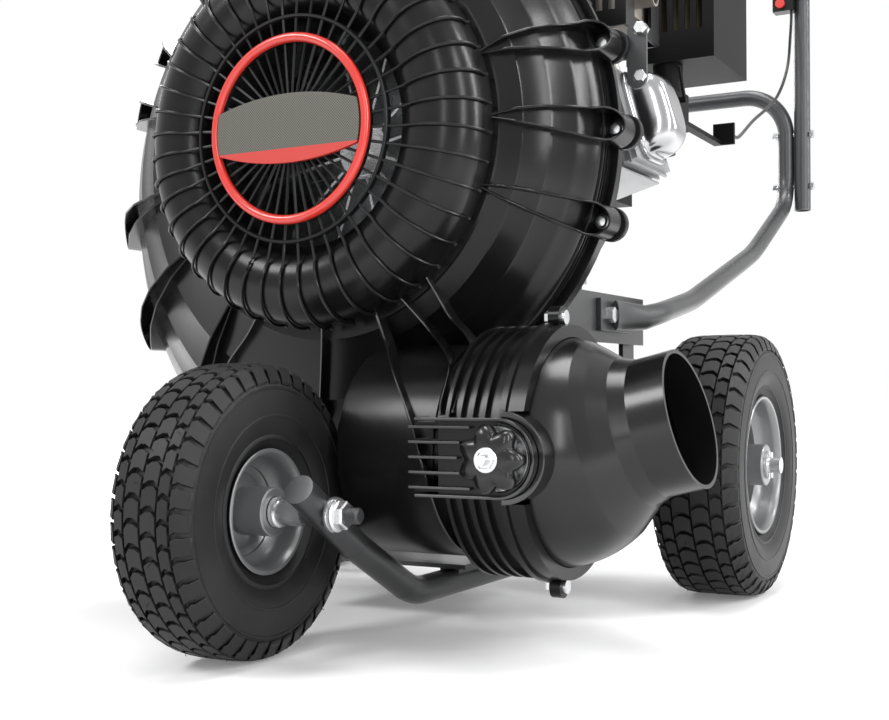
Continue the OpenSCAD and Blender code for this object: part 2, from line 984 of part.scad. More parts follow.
module recoil_cover() {
  t = 2.5;
  y1 = recoil_y + recoil_l;
  color(black)
    placed()
    difference() {
      union() {
        fan_turn() {
          polygon([
            [0, y1 - t], [70, y1 - t], [96, recoil_y + 14], [shroud_r - 6, recoil_y],
            [shroud_r, recoil_y], [shroud_r, recoil_y + 6], [100, recoil_y + 18],
            [74, y1], [0, y1]]);
          translate([0, recoil_y + 10])
            square([8, recoil_l - 10 - t / 2]);
        }
        rod_z(15, shaft_h + 86, starter_z - 6, starter_x, starter_y);
      }
      for (i = [0 : 17])
        translate([0, 0, shaft_h])
          rotate([0, i * 20, 0])
            block([34, y1 - 10, -2.5], [62, y1 + 5, 2.5]);
      starter_hole(9);
    }
}

starter_x = 48;
starter_y = recoil_y + 19;
starter_z = shaft_h + shroud_r + 4;

module starter_hole(r) {
  rod_z(r, shaft_h + 60, starter_z, starter_x, starter_y);
}

module recoil_pulley() {
  y0 = recoil_y + 12;
  color([0.75, 0.75, 0.72])
    placed()
    difference() {
      union() {
        rod_y(60, y0, y0 + 3);
        rod_y(48, y0, y0 + 14);
        rod_y(60, y0 + 11, y0 + 14);
      }
      rod_y(8 + fit, y0 - cut, y0 + 20);
    }
}

// T-handle on its rope, pulled straight up off the pulley
module starter_handle() {
  color(black)
    placed()
    union() {
      block([starter_x - 34, starter_y - 8, starter_z], [starter_x + 34, starter_y + 8, starter_z + 24]);
      rod_z(12, starter_z - 6, starter_z + cut, starter_x, starter_y);
      rod_z(3, shaft_h + 40, starter_z, starter_x, starter_y);
    }
}

module muffler() {
  color([0.35, 0.34, 0.33])
    placed()
    difference() {
      union() {
        block([92, engine_y + 12, shaft_h + 166], [236, engine_y + 116, shaft_h + 240]);
        rod_z(15, shaft_h + 77, shaft_h + 168, port_x, port_y - 15.5);
        rod_y(16, port_y - 9, port_y, port_x, port_z);
        rod_x(12, 230, 262, engine_y + 64, shaft_h + 206);
      }
      block([95, engine_y + 15, shaft_h + 169], [233, engine_y + 113, shaft_h + 237]);
      rod_x(9.5, 220, 264, engine_y + 64, shaft_h + 206);
    }
}

module muffler_guard() {
  color(black)
    placed()
    union() {
      difference() {
        block([84, engine_y + 4, shaft_h + 160], [246, engine_y + 124, shaft_h + 254]);
        block([88, engine_y + 8, shaft_h + 154], [242, engine_y + 120, shaft_h + 250]);
        for (i = [0 : 8])
          block([96 + i * 16, engine_y, shaft_h + 180], [104 + i * 16, engine_y + 130, shaft_h + 236]);
        block([240, engine_y + 34, shaft_h + 176], [250, engine_y + 94, shaft_h + 236]);
        block([80, engine_y + 30, shaft_h + 188], [90, engine_y + 100, shaft_h + 226]);
      }
      for (x = [112, 216])
        rod_z(6, shaft_h + 240, shaft_h + 252, x, engine_y + 64);
    }
}

module carburettor() {
  color(cast)
    placed() {
    difference() {
      union() {
        translate([0, 0, 0])
          rod_y(22, bore_y + 66, bore_y + 128, 218, shaft_h + 96);
        block([196, bore_y + 84, shaft_h + 68], [240, bore_y + 122, shaft_h + 124]);
        rod_z(20, shaft_h + 38, shaft_h + 70, 218, bore_y + 103);
      }
      rod_y(11, bore_y + 60, bore_y + 130, 218, shaft_h + 96);
    }
    block([250, bore_y + 150, shaft_h + 70], [262, bore_y + 244, shaft_h + 76]);
    block([250, bore_y + 60, shaft_h + 70], [262, bore_y + 160, shaft_h + 76]);
    block([232, bore_y + 90, shaft_h + 70], [262, bore_y + 112, shaft_h + 76]);
    block([250, bore_y + 238, shaft_h + 70], [280, bore_y + 244, shaft_h + 100]);
  }
}

module choke_lever() {
  color(black)
    placed() {
    rod_x(4, 240 + gap, 250, bore_y + 116, shaft_h + 112);
    translate([246, bore_y + 116, shaft_h + 112])
      rotate([30, 0, 0])
        block([0.5, -3, 0], [3.5, 3, 46]);
  }
}

module air_filter_case() {
  x0 = 168;
  x1 = 290;
  y0 = bore_y + 110;
  y1 = bore_y + 270;
  z0 = shaft_h + 164;
  z1 = shaft_h + 302;
  t = 2.5;
  color(black)
    placed()
    difference() {
      union() {
        block([x0, y0, z0], [x1, y1, z1]);
        rod_z(20, shaft_h + 123, z0 + cut, 218, y0 + 26);
        block([196, bore_y + 118, shaft_h + 76], [240, bore_y + 158, shaft_h + 126]);
      }
      block([x0 + t, y0 + t, z0 + t], [x1 - t, y1 - t, z1 - t]);
      rod_z(16, shaft_h + 104, z0 + 10, 218, y0 + 26);
      rod_y(16, bore_y + 112, bore_y + 150, 218, shaft_h + 100);
      block([190, bore_y + 90, shaft_h + 64], [245, bore_y + 122 + gap, shaft_h + 124.5]);
      rod_y(22 + gap, bore_y + 100, bore_y + 128 + gap, 218, shaft_h + 96);
      for (i = [0 : 5])
        block([x0 + 18 + i * 16, y0 - cut, z0 + 40], [x0 + 26 + i * 16, y0 + t + cut, z0 + 100]);
    }
}

module air_filter_element() {
  color([0.75, 0.62, 0.3])
    placed()
    difference() {
      rod_z(44, shaft_h + 167, shaft_h + 264, 229, bore_y + 200);
      rod_z(26, shaft_h + 184, shaft_h + 265, 229, bore_y + 200);
    }
}

module fuel_tank() {
  color(black)
    placed()
    difference() {
      union() {
        block([-150, engine_y + 34, shaft_h + 206], [70, case_y1 + 70, shaft_h + 332]);
        block([-158, engine_y + 26, shaft_h + 236], [78, case_y1 + 78, shaft_h + 244]);
        rod_z(26, shaft_h + 330, shaft_h + 342, -40, case_y1 - 60);
        for (x = [-58, 40], y = [engine_y + 60, case_y1 - 30])
          rod_z(9, shaft_h + sqrt(case_r * case_r - pow(abs(x) - 9, 2)), shaft_h + 210, x, y);
      }
      block([-146, engine_y + 38, shaft_h + 210], [66, case_y1 + 66, shaft_h + 328]);
      rod_z(20, shaft_h + 314, shaft_h + 344, -40, case_y1 - 60);
    }
}

module fuel_cap() {
  color(black)
    placed()
    difference() {
      union() {
        rod_z(32, shaft_h + 342 + gap, shaft_h + 364, -40, case_y1 - 60);
        rod_z(20 - fit, shaft_h + 328, shaft_h + 344, -40, case_y1 - 60);
      }
      rod_z(16, shaft_h + 324, shaft_h + 340, -40, case_y1 - 60);
    }
}

module oil_dipstick() {
  color(red)
    placed() {
    rod_y(15, dip_y - 18, dip_y - gap, dip_x, dip_z);
    rod_y(9, dip_y - 4, dip_y + 12, dip_x, dip_z);
  }
}

module heat_plate() {
  color([0.72, 0.72, 0.73])
    placed()
    on_bore()
      difference() {
        union() {
          translate([68, -110, 120])
            cube([2.5, 170, 100]);
          translate([60, -60, 130])
            cube([10, 12, 12]);
          translate([60, 40, 130])
            cube([10, 12, 12]);
          translate([64, 40, 200])
            cube([6, 12, 12]);
        }
        for (y = [-80, -50])
          translate([60, y, 165])
            cube([14, 20, 6]);
      }
}

module engine_mounts() {
  color(rubber)
    placed()
    difference() {
      for (x = [-mount_x, mount_x], y = [engine_y + 24, case_y1 - 24])
        rod_z(16, deck_h, base_h, x, y);
      for (x = [-mount_x, mount_x], y = [engine_y + 24, case_y1 - 24])
        rod_z(5.2, deck_h - cut, base_h + cut, x, y);
    }
}

module engine_bolts() {
  color(steel)
    placed() {
    for (x = [-mount_x, mount_x], y = [engine_y + 24, case_y1 - 24]) {
      rod_z(5, deck_h - sheet_t - 8, base_h + 22, x, y);
      translate([x, y, base_h + 14])
        hex(17, 8);
      translate([x, y, deck_h - sheet_t - 8])
        hex(17, 8);
    }
    for (a = [45 : 90 : 315]) {
      x = 66 * cos(a);
      z = shaft_h + 66 * sin(a);
      rod_y(4, back_y - 8, back_y + 12, x, z);
      translate([x, back_y + 8, z])
        rotate([-90, 0, 0])
          hex(13, 6);
      rod_y(7.5, back_y - 8, back_y - shell_t, x, z);
    }
  }
}

// ---- Frame and wheels ----

module deck_frame() {
  h = deck_w / 2;
  color(paint_grey)
    placed()
    difference() {
      union() {
        block([-h, deck_y0, deck_h - sheet_t], [h, deck_y1, deck_h]);
        for (s = [-1, 1])
          block([s > 0 ? h - sheet_t : -h, deck_y0, deck_z0],
            [s > 0 ? h : -h + sheet_t, deck_y1, deck_h]);
        block([-h, deck_y0, deck_z0], [h, deck_y0 + sheet_t, deck_h]);
        for (s = [-1, 1]) {
          x = s * leg_x;
          block([x - leg_t / 2, wheelbase - leg_w / 2, rear_r - 26],
            [x + leg_t / 2, wheelbase + leg_w / 2 - 20, deck_h - sheet_t + cut]);
          rod_x(26, x - leg_t / 2, x + leg_t / 2, wheelbase, rear_r);
          rod_x(16, s > 0 ? x : x - 30, s > 0 ? x + 30 : x, wheelbase, rear_r);
        }
      }
      rod_x(axle_r, -deck_w, deck_w, wheelbase, rear_r);
      for (x = [-mount_x, mount_x], y = [engine_y + 24, case_y1 - 24])
        rod_z(5.2, deck_h - 10, deck_h + cut, x, y);
      for (s = [-1, 1], y = [foot_y - 84, foot_y - 34])
        rod_x(5.2, s > 0 ? h - 10 : -h - 10, s > 0 ? h + 10 : -h + 10, y, deck_z0 + 34);
    }
}

module base_frame() {
  x = 100;
  w = 40;
  color(paint_grey)
    placed()
    union() {
      block([-base_half, base_y0, base_z], [base_half, base_y1, base_z + base_t]);
      for (s = [-1, 1]) {
        block([s * x - w / 2, deck_y0 - 6, base_z], [s * x + w / 2, deck_y0, deck_h - sheet_t]);
        block([s * (base_half - 6) - 3, base_y1 - 12, base_z],
          [s * (base_half - 6) + 3, wheelbase + 20, base_z + 46]);
        block([s * (base_half - 6) - 3, wheelbase - 20, base_z],
          [s * (base_half - 6) + 3, wheelbase + 20, rear_r - axle_r]);
      }
    }
}

module rear_axle() {
  color(steel)
    placed()
    difference() {
      rod_x(axle_r, -track / 2 - rear_tyre_w / 2 - 12, track / 2 + rear_tyre_w / 2 + 12,
        wheelbase, rear_r);
      for (s = [-1, 1])
        rod_z(2, rear_r - 20, rear_r + 20, s * pin_x, wheelbase);
    }
}

// Section of a tyre about its axle: r to the tread, w wide, seated on a rim of radius rim
module tyre_section(r, w, rim) {
  wall = 9;
  h = w / 2;
  polygon([
    [rim - 6, -h + 16], [rim + 8, -h + 8], [rim + 26, -h + 1], [r - 34, -h + 1],
    [r - 10, -h + 4], [r - 2, -h + 12], [r, -h + 22], [r, h - 22], [r - 2, h - 12],
    [r - 10, h - 4], [r - 34, h - 1], [rim + 26, h - 1], [rim + 8, h - 8], [rim - 6, h - 16],
    [rim - 6, h - 16 - wall], [rim + 8, h - 8 - wall], [rim + 24, h - wall],
    [r - 34, h - wall], [r - 16, h - 18], [r - 14, 0], [r - 16, -h + 18],
    [r - 34, -h + wall], [rim + 24, -h + wall], [rim + 8, -h + 8 + wall],
    [rim - 6, -h + 16 + wall]]);
}

module tyre(r, w, rim) {
  difference() {
    rotate([0, 90, 0])
      rotate_extrude($fn = 128)
        tyre_section(r, w, rim);
    for (x = [-w / 5, 0, w / 5])
      translate([x - 1.5, 0, 0])
        rotate([0, 90, 0])
          difference() {
            cylinder(r = r + cut, h = 3);
            translate([0, 0, -cut])
              cylinder(r = r - 5, h = 3 + 2 * cut);
          }
  }
}

// A pressed rim: flanges, drop centre, dished disc and hub tube with two bearings
module rim(r, w, hub_l, shaft_r) {
  b = w / 2 - 8;
  t = 2.5;
  rotate([0, 90, 0])
    rotate_extrude() {
      polygon([
        [r, -b], [r, -b + 2], [r - 4, -b + 3], [r - 6, -b + 6], [r - 6, -b + 20],
        [r - 16, -b + 30], [r - 16, b - 30], [r - 6, b - 20], [r - 6, b - 6],
        [r - 4, b - 3], [r, b - 2], [r, b], [r - 6, b], [r - 6 - t, b - 8],
        [r - 6 - t, b - 19], [r - 16 - t, b - 29], [r - 16 - t, -b + 29],
        [r - 6 - t, -b + 19], [r - 6 - t, -b + 8], [r - 6, -b]]);
      polygon([[rim_hub_r, -2], [r - 15 - t, -2], [r - 15 - t, 2], [rim_hub_r, 2]]);
      difference() {
        translate([shaft_r + fit, -hub_l / 2])
          square([rim_hub_r - shaft_r - fit, hub_l]);
        translate([shaft_r - cut, -hub_l / 2 + 14])
          square([rim_hub_r - 3 - shaft_r + cut, hub_l - 28]);
      }
    }
}

module rear_tyre_at(s) {
  color(rubber)
    placed()
    translate([s * track / 2, wheelbase, rear_r])
      tyre(rear_r, rear_tyre_w, rear_rim_d / 2);
}

module rear_rim_at(s) {
  color(rim_grey)
    placed()
    translate([s * track / 2, wheelbase, rear_r])
      rim(rear_rim_d / 2, rear_tyre_w - 4, rear_tyre_w - 12, axle_r);
}

module left_tyre() {
  rear_tyre_at(1);
}

module right_tyre() {
  rear_tyre_at(-1);
}

module left_rim() {
  rear_rim_at(1);
}

module right_rim() {
  rear_rim_at(-1);
}

// Washers and split pins that keep the rear wheels on the axle
module axle_pins() {
  hub_end = track / 2 + (rear_tyre_w - 12) / 2;
  hub_start = track / 2 - (rear_tyre_w - 12) / 2;
  color(steel)
    placed()
    for (s = [-1, 1]) {
      difference() {
        union() {
          rod_x(17, s > 0 ? hub_end + gap : -hub_end - gap - 3,
            s > 0 ? hub_end + gap + 3 : -hub_end - gap, wheelbase, rear_r);
          rod_x(15, s > 0 ? leg_x + 30 : -hub_start + gap,
            s > 0 ? hub_start - gap : -leg_x - 30, wheelbase, rear_r);
        }
        rod_x(axle_r, -500, 500, wheelbase, rear_r);
      }
      rod_z(2, rear_r - 16, rear_r + 16, s * pin_x, wheelbase);
    }
}

arm_pts = [
  [arm_x, -34, 171], [arm_x, 62, 108], [arm_x, 176, 46], [arm_x, base_y1 - 10, 46]];

module front_arm() {
  color(paint_grey)
    placed()
    difference() {
      union() {
        difference() {
          union() {
            bent_tube(arm_pts, arm_r, 90, 3);
            aim(arm_pts[0] + [0, 0, 0], arm_pts[1])
              cylinder(r = arm_r, h = 3);
            rod_x(arm_r - 4, arm_x - arm_r, arm_x + arm_r, 0, front_r);
          }
        }
        block([arm_x - 12, base_y0 + 10, base_z - 8], [arm_x + 12, base_y1 - 10, base_z]);
      }
      rod_x(front_axle_r, 0, 200, 0, front_r);
    }
}

module front_axle() {
  hub_half = (front_tyre_w - 4) / 2;
  color(steel)
    placed() {
    rod_x(front_axle_r, -hub_half - 8, arm_x + arm_r + 30, 0, front_r);
    difference() {
      rod_x(13, hub_half + gap, arm_x - arm_r, 0, front_r);
      rod_x(front_axle_r, 0, 100, 0, front_r);
    }
    translate([-hub_half - 16, 0, front_r])
      rotate([0, 90, 0])
        hex(24, 16 - gap);
    rod_x(17, arm_x + arm_r, arm_x + arm_r + 4, 0, front_r);
    translate([arm_x + arm_r + 4, 0, front_r])
      rotate([0, 90, 0])
        hex(24, 13);
  }
}

module front_tyre() {
  color(rubber)
    placed()
    translate([0, 0, front_r])
      tyre(front_r, front_tyre_w, front_rim_d / 2);
}

module front_rim() {
  color(rim_grey)
    placed()
    translate([0, 0, front_r])
      rim(front_rim_d / 2, front_tyre_w - 4, front_tyre_w - 4, front_axle_r);
}

// ---- Handle ----

lower_pts = [
  [lower_x, foot_y, 353], [lower_x, foot_y + 180, 385], [lower_x, 1060, 480],
  [lower_x, handle_y, 590], [lower_x, handle_y, loop_h],
  [-lower_x, handle_y, loop_h], [-lower_x, handle_y, 590], [-lower_x, 1060, 480],
  [-lower_x, foot_y + 180, 385], [-lower_x, foot_y, 353]];

module lower_handle() {
  h = deck_w / 2;
  color(paint_grey)
    placed()
    difference() {
      union() {
        bent_tube(lower_pts, tube_r, bend_r, tube_t);
        for (s = [-1, 1]) {
          block([s > 0 ? h : -h - 6, foot_y - 110, deck_z0 + 14],
            [s > 0 ? h + 6 : -h, foot_y - 6, deck_z0 + 54]);
          block([s > 0 ? h : -lower_x - 8, foot_y - 12, 353 - 9],
            [s > 0 ? lower_x + 8 : -h, foot_y + 4, 353 + 9]);
        }
      }
      for (s = [-1, 1], y = [foot_y - 84, foot_y - 34])
        rod_x(5.2, s > 0 ? h - 10 : -h - 10, s > 0 ? h + 10 : -h + 10, y, deck_z0 + 34);
      for (s = [-1, 1], z = joint_zs)
        rod_x(4.2, s * lower_x - 30, s * lower_x + 30, handle_y, z);
    }
}

upper_pts = [
  [upper_x, handle_y, 575], [upper_x, handle_y, 1040], [upper_x, handle_y + 130, grip_h],
  [-upper_x, handle_y + 130, grip_h], [-upper_x, handle_y, 1040], [-upper_x, handle_y, 575]];

module upper_handle() {
  color(paint_grey)
    placed()
    difference() {
      bent_tube(upper_pts, tube_r, bend_r, tube_t);
      for (s = [-1, 1], z = joint_zs)
        rod_x(4.2, s * upper_x - 30, s * upper_x + 30, handle_y, z);
    }
}

module handle_bolts() {
  h = deck_w / 2;
  color(steel)
    placed()
    for (s = [-1, 1]) {
      for (z = joint_zs) {
        rod_x(4, s > 0 ? lower_x - tube_r - 10 : -upper_x - tube_r,
          s > 0 ? upper_x + tube_r : -lower_x + tube_r + 10, handle_y, z);
        for (x = [lower_x - tube_r - 8, upper_x + tube_r])
          translate([s > 0 ? x : -x - 6, handle_y, z])
            rotate([0, 90, 0])
              hex(13, 6);
      }
      for (y = [foot_y - 84, foot_y - 34]) {
        rod_x(5, s > 0 ? h - sheet_t - 8 : -h - 8, s > 0 ? h + 8 : -h + sheet_t + 8,
          y, deck_z0 + 34);
        for (x = [h - sheet_t - 8, h + 6])
          translate([s > 0 ? x : -x - 8, y, deck_z0 + 34])
            rotate([0, 90, 0])
              hex(17, 8);
      }
    }
}

module grip() {
  color(rubber)
    placed()
    difference() {
      rod_x(tube_r + 5, -upper_x + bend_r + 20, upper_x - bend_r - 20, handle_y + 130, grip_h);
      rod_x(tube_r, -upper_x, upper_x, handle_y + 130, grip_h);
    }
}

lever_z = 968;

// Clamp and housing of the throttle control on the left upright
module throttle_bracket() {
  color(black)
    placed()
    difference() {
      union() {
        rod_z(tube_r + 4, lever_z - 16, lever_z + 16, upper_x, handle_y);
        block([upper_x - 44, handle_y - 30, lever_z - 16],
          [upper_x - 8, handle_y - 6, lever_z + 16]);
        block([upper_x - 44, handle_y - 30, lever_z - 42],
          [upper_x - 8, handle_y - 6, lever_z - 16]);
      }
      rod_z(tube_r, lever_z - 50, lever_z + 20, upper_x, handle_y);
      rod_y(8 + fit, handle_y - 31, handle_y - 12, upper_x - 30, lever_z - 29);
      block([upper_x - 34, handle_y - 31, lever_z - 12],
        [upper_x - 22, handle_y - 10, lever_z + 17]);
      rod_x(4 + fit, upper_x - 45, upper_x - 20, handle_y - 20, lever_z);
      aim(cable_pts[1], cable_pts[0])
        cylinder(r = 3 + fit, h = norm(cable_pts[0] - cable_pts[1]));
    }
}

module throttle_lever() {
  color(red)
    placed() {
    rod_x(4, upper_x - 44, upper_x - 21, handle_y - 20, lever_z);
    rod_x(8, upper_x - 33, upper_x - 23, handle_y - 20, lever_z);
    translate([upper_x - 31, handle_y - 20, lever_z])
      rotate([-20, 0, 0])
        block([0, -3, 0], [6, 3, 52]);
    translate([upper_x - 28, handle_y - 20, lever_z])
      rotate([-20, 0, 0])
        translate([0, 0, 54])
          sphere(r = 8);
  }
}

cable_pts = [
  [upper_x - 12, handle_y - 24, lever_z - 42], [upper_x - 12, handle_y - 36, 836],
  [upper_x - 12, 1180, 766], [upper_x - 12, 1000, 690], [268, 850, 628], [268, 774, 622]];

module throttle_cable() {
  color(black)
    placed()
    bent_bar(cable_pts, 3, 30);
}

// Push button in the throttle bracket
module stop_switch() {
  color(red)
    placed()
    rod_y(8, handle_y - 36, handle_y - 17, upper_x - 30, lever_z - 29);
}

// Zinc plate that the upper left flange bolt holds behind the housing
module side_bracket() {
  x = bolt_x(bracket_angle);
  z = bolt_z(bracket_angle);
  y0 = flange_y + ear_t;
  y1 = y0 + bracket_t;
  color([0.66, 0.66, 0.64])
    placed()
    difference() {
      union() {
        block([x - 8, y0, z - 12], [x + 26, y1, z + 12]);
        block([x + 23, y0, z - 34], [x + 45, y1, z + 18]);
        for (p = bracket_holes)
          rod_y(11, y0, y1, x + p[0], z + p[1]);
      }
      rod_y(4.2, y0 - cut, y1 + cut, x, z);
      for (p = bracket_holes)
        rod_y(4.2, y0 - cut, y1 + cut, x + p[0], z + p[1]);
    }
}

front_shell();
rear_shell();
intake_bell();
intake_guard();
guard_hoops();
guard_ring();
badge_plate();
shell_bolts();
discharge_collar();
retainer_ring();
retainer_bolts();
nozzle();
pivot_stud();
clamp_knob();
knob_washer();
impeller();
impeller_bolt();
crankshaft();
flywheel();
engine_adapter();
crankcase();
cylinder_head();
rocker_cover();
spark_plug();
muffler();
muffler_guard();
carburettor();
choke_lever();
air_filter_case();
air_filter_element();
fan_shroud();
recoil_cover();
recoil_pulley();
starter_handle();
fuel_tank();
fuel_cap();
oil_dipstick();
heat_plate();
engine_mounts();
engine_bolts();
deck_frame();
base_frame();
rear_axle();
left_tyre();
left_rim();
right_tyre();
right_rim();
axle_pins();
front_arm();
front_axle();
front_tyre();
front_rim();
lower_handle();
upper_handle();
handle_bolts();
grip();
throttle_lever();
throttle_bracket();
throttle_cable();
stop_switch();
side_bracket();
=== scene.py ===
import json
import math
import random

import bpy
from mathutils import Matrix, Vector


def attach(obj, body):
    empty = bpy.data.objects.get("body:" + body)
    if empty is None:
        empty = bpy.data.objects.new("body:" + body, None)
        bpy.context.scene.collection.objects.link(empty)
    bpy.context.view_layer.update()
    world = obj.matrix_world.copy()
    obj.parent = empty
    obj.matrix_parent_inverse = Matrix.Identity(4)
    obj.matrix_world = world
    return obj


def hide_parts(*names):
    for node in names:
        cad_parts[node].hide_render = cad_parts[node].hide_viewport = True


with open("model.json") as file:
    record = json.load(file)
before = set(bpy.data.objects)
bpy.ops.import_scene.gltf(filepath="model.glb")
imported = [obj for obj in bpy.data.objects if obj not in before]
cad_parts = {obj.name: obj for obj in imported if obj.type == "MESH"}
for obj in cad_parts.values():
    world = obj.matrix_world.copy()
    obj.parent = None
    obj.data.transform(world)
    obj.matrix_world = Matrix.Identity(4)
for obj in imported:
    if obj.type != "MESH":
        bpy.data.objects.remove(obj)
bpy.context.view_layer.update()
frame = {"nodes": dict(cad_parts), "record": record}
scene = bpy.context.scene
NODES = frame["nodes"]

# ---- The CAD's named values, in metres. Helpers take the front axle's frame ----
ORIGIN_X, ORIGIN_Y = 0.013564, 0.647
SHAFT_H = 0.536
BELL_Y = 0.130
BELL_C, BELL_TUBE = 0.162, 0.043
ROUND_R, GAIN = 0.276, 0.174
BELL_EDGE = 0.207       # radius at which the bell meets the housing's wall
DUCT_Y, DUCT_H = 0.200, 0.198
BALL_X = 0.255          # the nozzle's pivot and its knob
COLLAR_FRONT = 0.0625   # Y of the knob's seat
DECK_Z0, DECK_SIDE_X = 0.319, 0.200
FRONT_R, REAR_R, WHEELBASE, HALF_TRACK = 0.145, 0.165, 0.598, 0.3175
BORE_Y, BORE_TILT = 0.530, 16
HANDLE_X, HANDLE_Y, ARCH_TOP, TUBE_R = 0.228, 1.290, 0.786, 0.014
BOLT_OUT = 0.009        # from the volute's wall to a flange bolt
WALL_BACK_Y = 0.2925    # Y at which the ribs end on the wall
BRACKET_ANGLE = 20      # the flange bolt that carries the bracket
BRACKET_OUT, BRACKET_HOLES_Z = 0.034, (0.018, -0.034)
ALONG_X, ALONG_Y, ALONG_Z = (1, 0, 0), (0, 1, 0), (0, 0, 1)
MM = 0.001
BOLTS = [-19, 1, 20, 42, 64, 87, 110, 133, 153, 167, 191, 211, 234]


def spot(x, y, z):
    """A point of the front axle's frame in the model's frame."""
    return Vector((x - ORIGIN_X, y - ORIGIN_Y, z))


def polar(theta, r, y):
    """A point about the fan's axis, at an angle in degrees."""
    a = math.radians(theta)
    return spot(r * math.cos(a), y, SHAFT_H + r * math.sin(a))


def spiral_r(theta):
    """Radius of the volute's wall at an angle in degrees."""
    t = min(theta, 262)
    return ROUND_R if t <= -42 else ROUND_R + GAIN * ((t + 42) / 312) ** 2.2


# ---- Materials ----

def new_material(name):
    mat = bpy.data.materials.new(name)
    mat.use_nodes = True
    nt = mat.node_tree
    return mat, nt, nt.nodes["Principled BSDF"]


def link(nt, a, b):
    nt.links.new(a, b)


def surface(name, color, rough=0.4, metal=0.0, vary=0.12, grain=900.0, bump=0.1, patch=6.0,
            rough_vary=0.1, coat=0.0, scratch=0.0, dust=0.0, specular=0.5, stretch=None):
    """A procedural finish: large patches and fine grain in colour, roughness and bump."""
    mat, nt, bsdf = new_material(name)
    nodes = nt.nodes
    coord = nodes.new("ShaderNodeTexCoord")
    mapping = nodes.new("ShaderNodeMapping")
    mapping.inputs["Scale"].default_value = stretch or (1, 1, 1)
    link(nt, coord.outputs["Object"], mapping.inputs["Vector"])
    big = nodes.new("ShaderNodeTexNoise")
    big.inputs["Scale"].default_value = patch
    big.inputs["Detail"].default_value = 5
    link(nt, mapping.outputs[0], big.inputs["Vector"])
    fine = nodes.new("ShaderNodeTexNoise")
    fine.inputs["Scale"].default_value = grain
    fine.inputs["Detail"].default_value = 3
    link(nt, mapping.outputs[0], fine.inputs["Vector"])
    ramp = nodes.new("ShaderNodeValToRGB")
    lo = [c * (1 - vary) for c in color]
    hi = [min(1, c * (1 + vary) + 0.25 * vary * 0.05) for c in color]
    ramp.color_ramp.elements[0].position = 0.3
    ramp.color_ramp.elements[0].color = (*lo, 1)
    ramp.color_ramp.elements[1].position = 0.7
    ramp.color_ramp.elements[1].color = (*hi, 1)
    link(nt, big.outputs["Fac"], ramp.inputs[0])
    out = ramp.outputs[0]
    if dust:
        geo = nodes.new("ShaderNodeNewGeometry")
        sep = nodes.new("ShaderNodeSeparateXYZ")
        link(nt, geo.outputs["Normal"], sep.inputs[0])
        up = nodes.new("ShaderNodeMapRange")
        up.inputs["From Min"].default_value = 0.2
        up.inputs["To Max"].default_value = dust
        link(nt, sep.outputs["Z"], up.inputs["Value"])
        mix = nodes.new("ShaderNodeMix")
        mix.data_type = "RGBA"
        mix.inputs[7].default_value = (0.5, 0.48, 0.44, 1)
        link(nt, up.outputs[0], mix.inputs[0])
        link(nt, out, mix.inputs[6])
        out = mix.outputs[2]
    if scratch:
        edge = nodes.new("ShaderNodeNewGeometry")
        worn = nodes.new("ShaderNodeMapRange")
        worn.inputs["From Min"].default_value = 0.53
        worn.inputs["From Max"].default_value = 0.62
        worn.inputs["To Max"].default_value = scratch
        link(nt, edge.outputs["Pointiness"], worn.inputs["Value"])
        mix = nodes.new("ShaderNodeMix")
        mix.data_type = "RGBA"
        mix.inputs[7].default_value = (*[min(1, c * 1.6 + 0.06) for c in color], 1)
        link(nt, worn.outputs[0], mix.inputs[0])
        link(nt, out, mix.inputs[6])
        out = mix.outputs[2]
    link(nt, out, bsdf.inputs["Base Color"])
    rr = nodes.new("ShaderNodeMapRange")
    rr.inputs["To Min"].default_value = max(0.02, rough - rough_vary)
    rr.inputs["To Max"].default_value = min(1, rough + rough_vary)
    link(nt, big.outputs["Fac"], rr.inputs["Value"])
    link(nt, rr.outputs[0], bsdf.inputs["Roughness"])
    bn = nodes.new("ShaderNodeBump")
    bn.inputs["Strength"].default_value = bump
    bn.inputs["Distance"].default_value = 0.0004
    link(nt, fine.outputs["Fac"], bn.inputs["Height"])
    link(nt, bn.outputs[0], bsdf.inputs["Normal"])
    bsdf.inputs["Metallic"].default_value = metal
    bsdf.inputs["Specular IOR Level"].default_value = specular
    bsdf.inputs["Coat Weight"].default_value = coat
    bsdf.inputs["Coat Roughness"].default_value = 0.08
    return mat


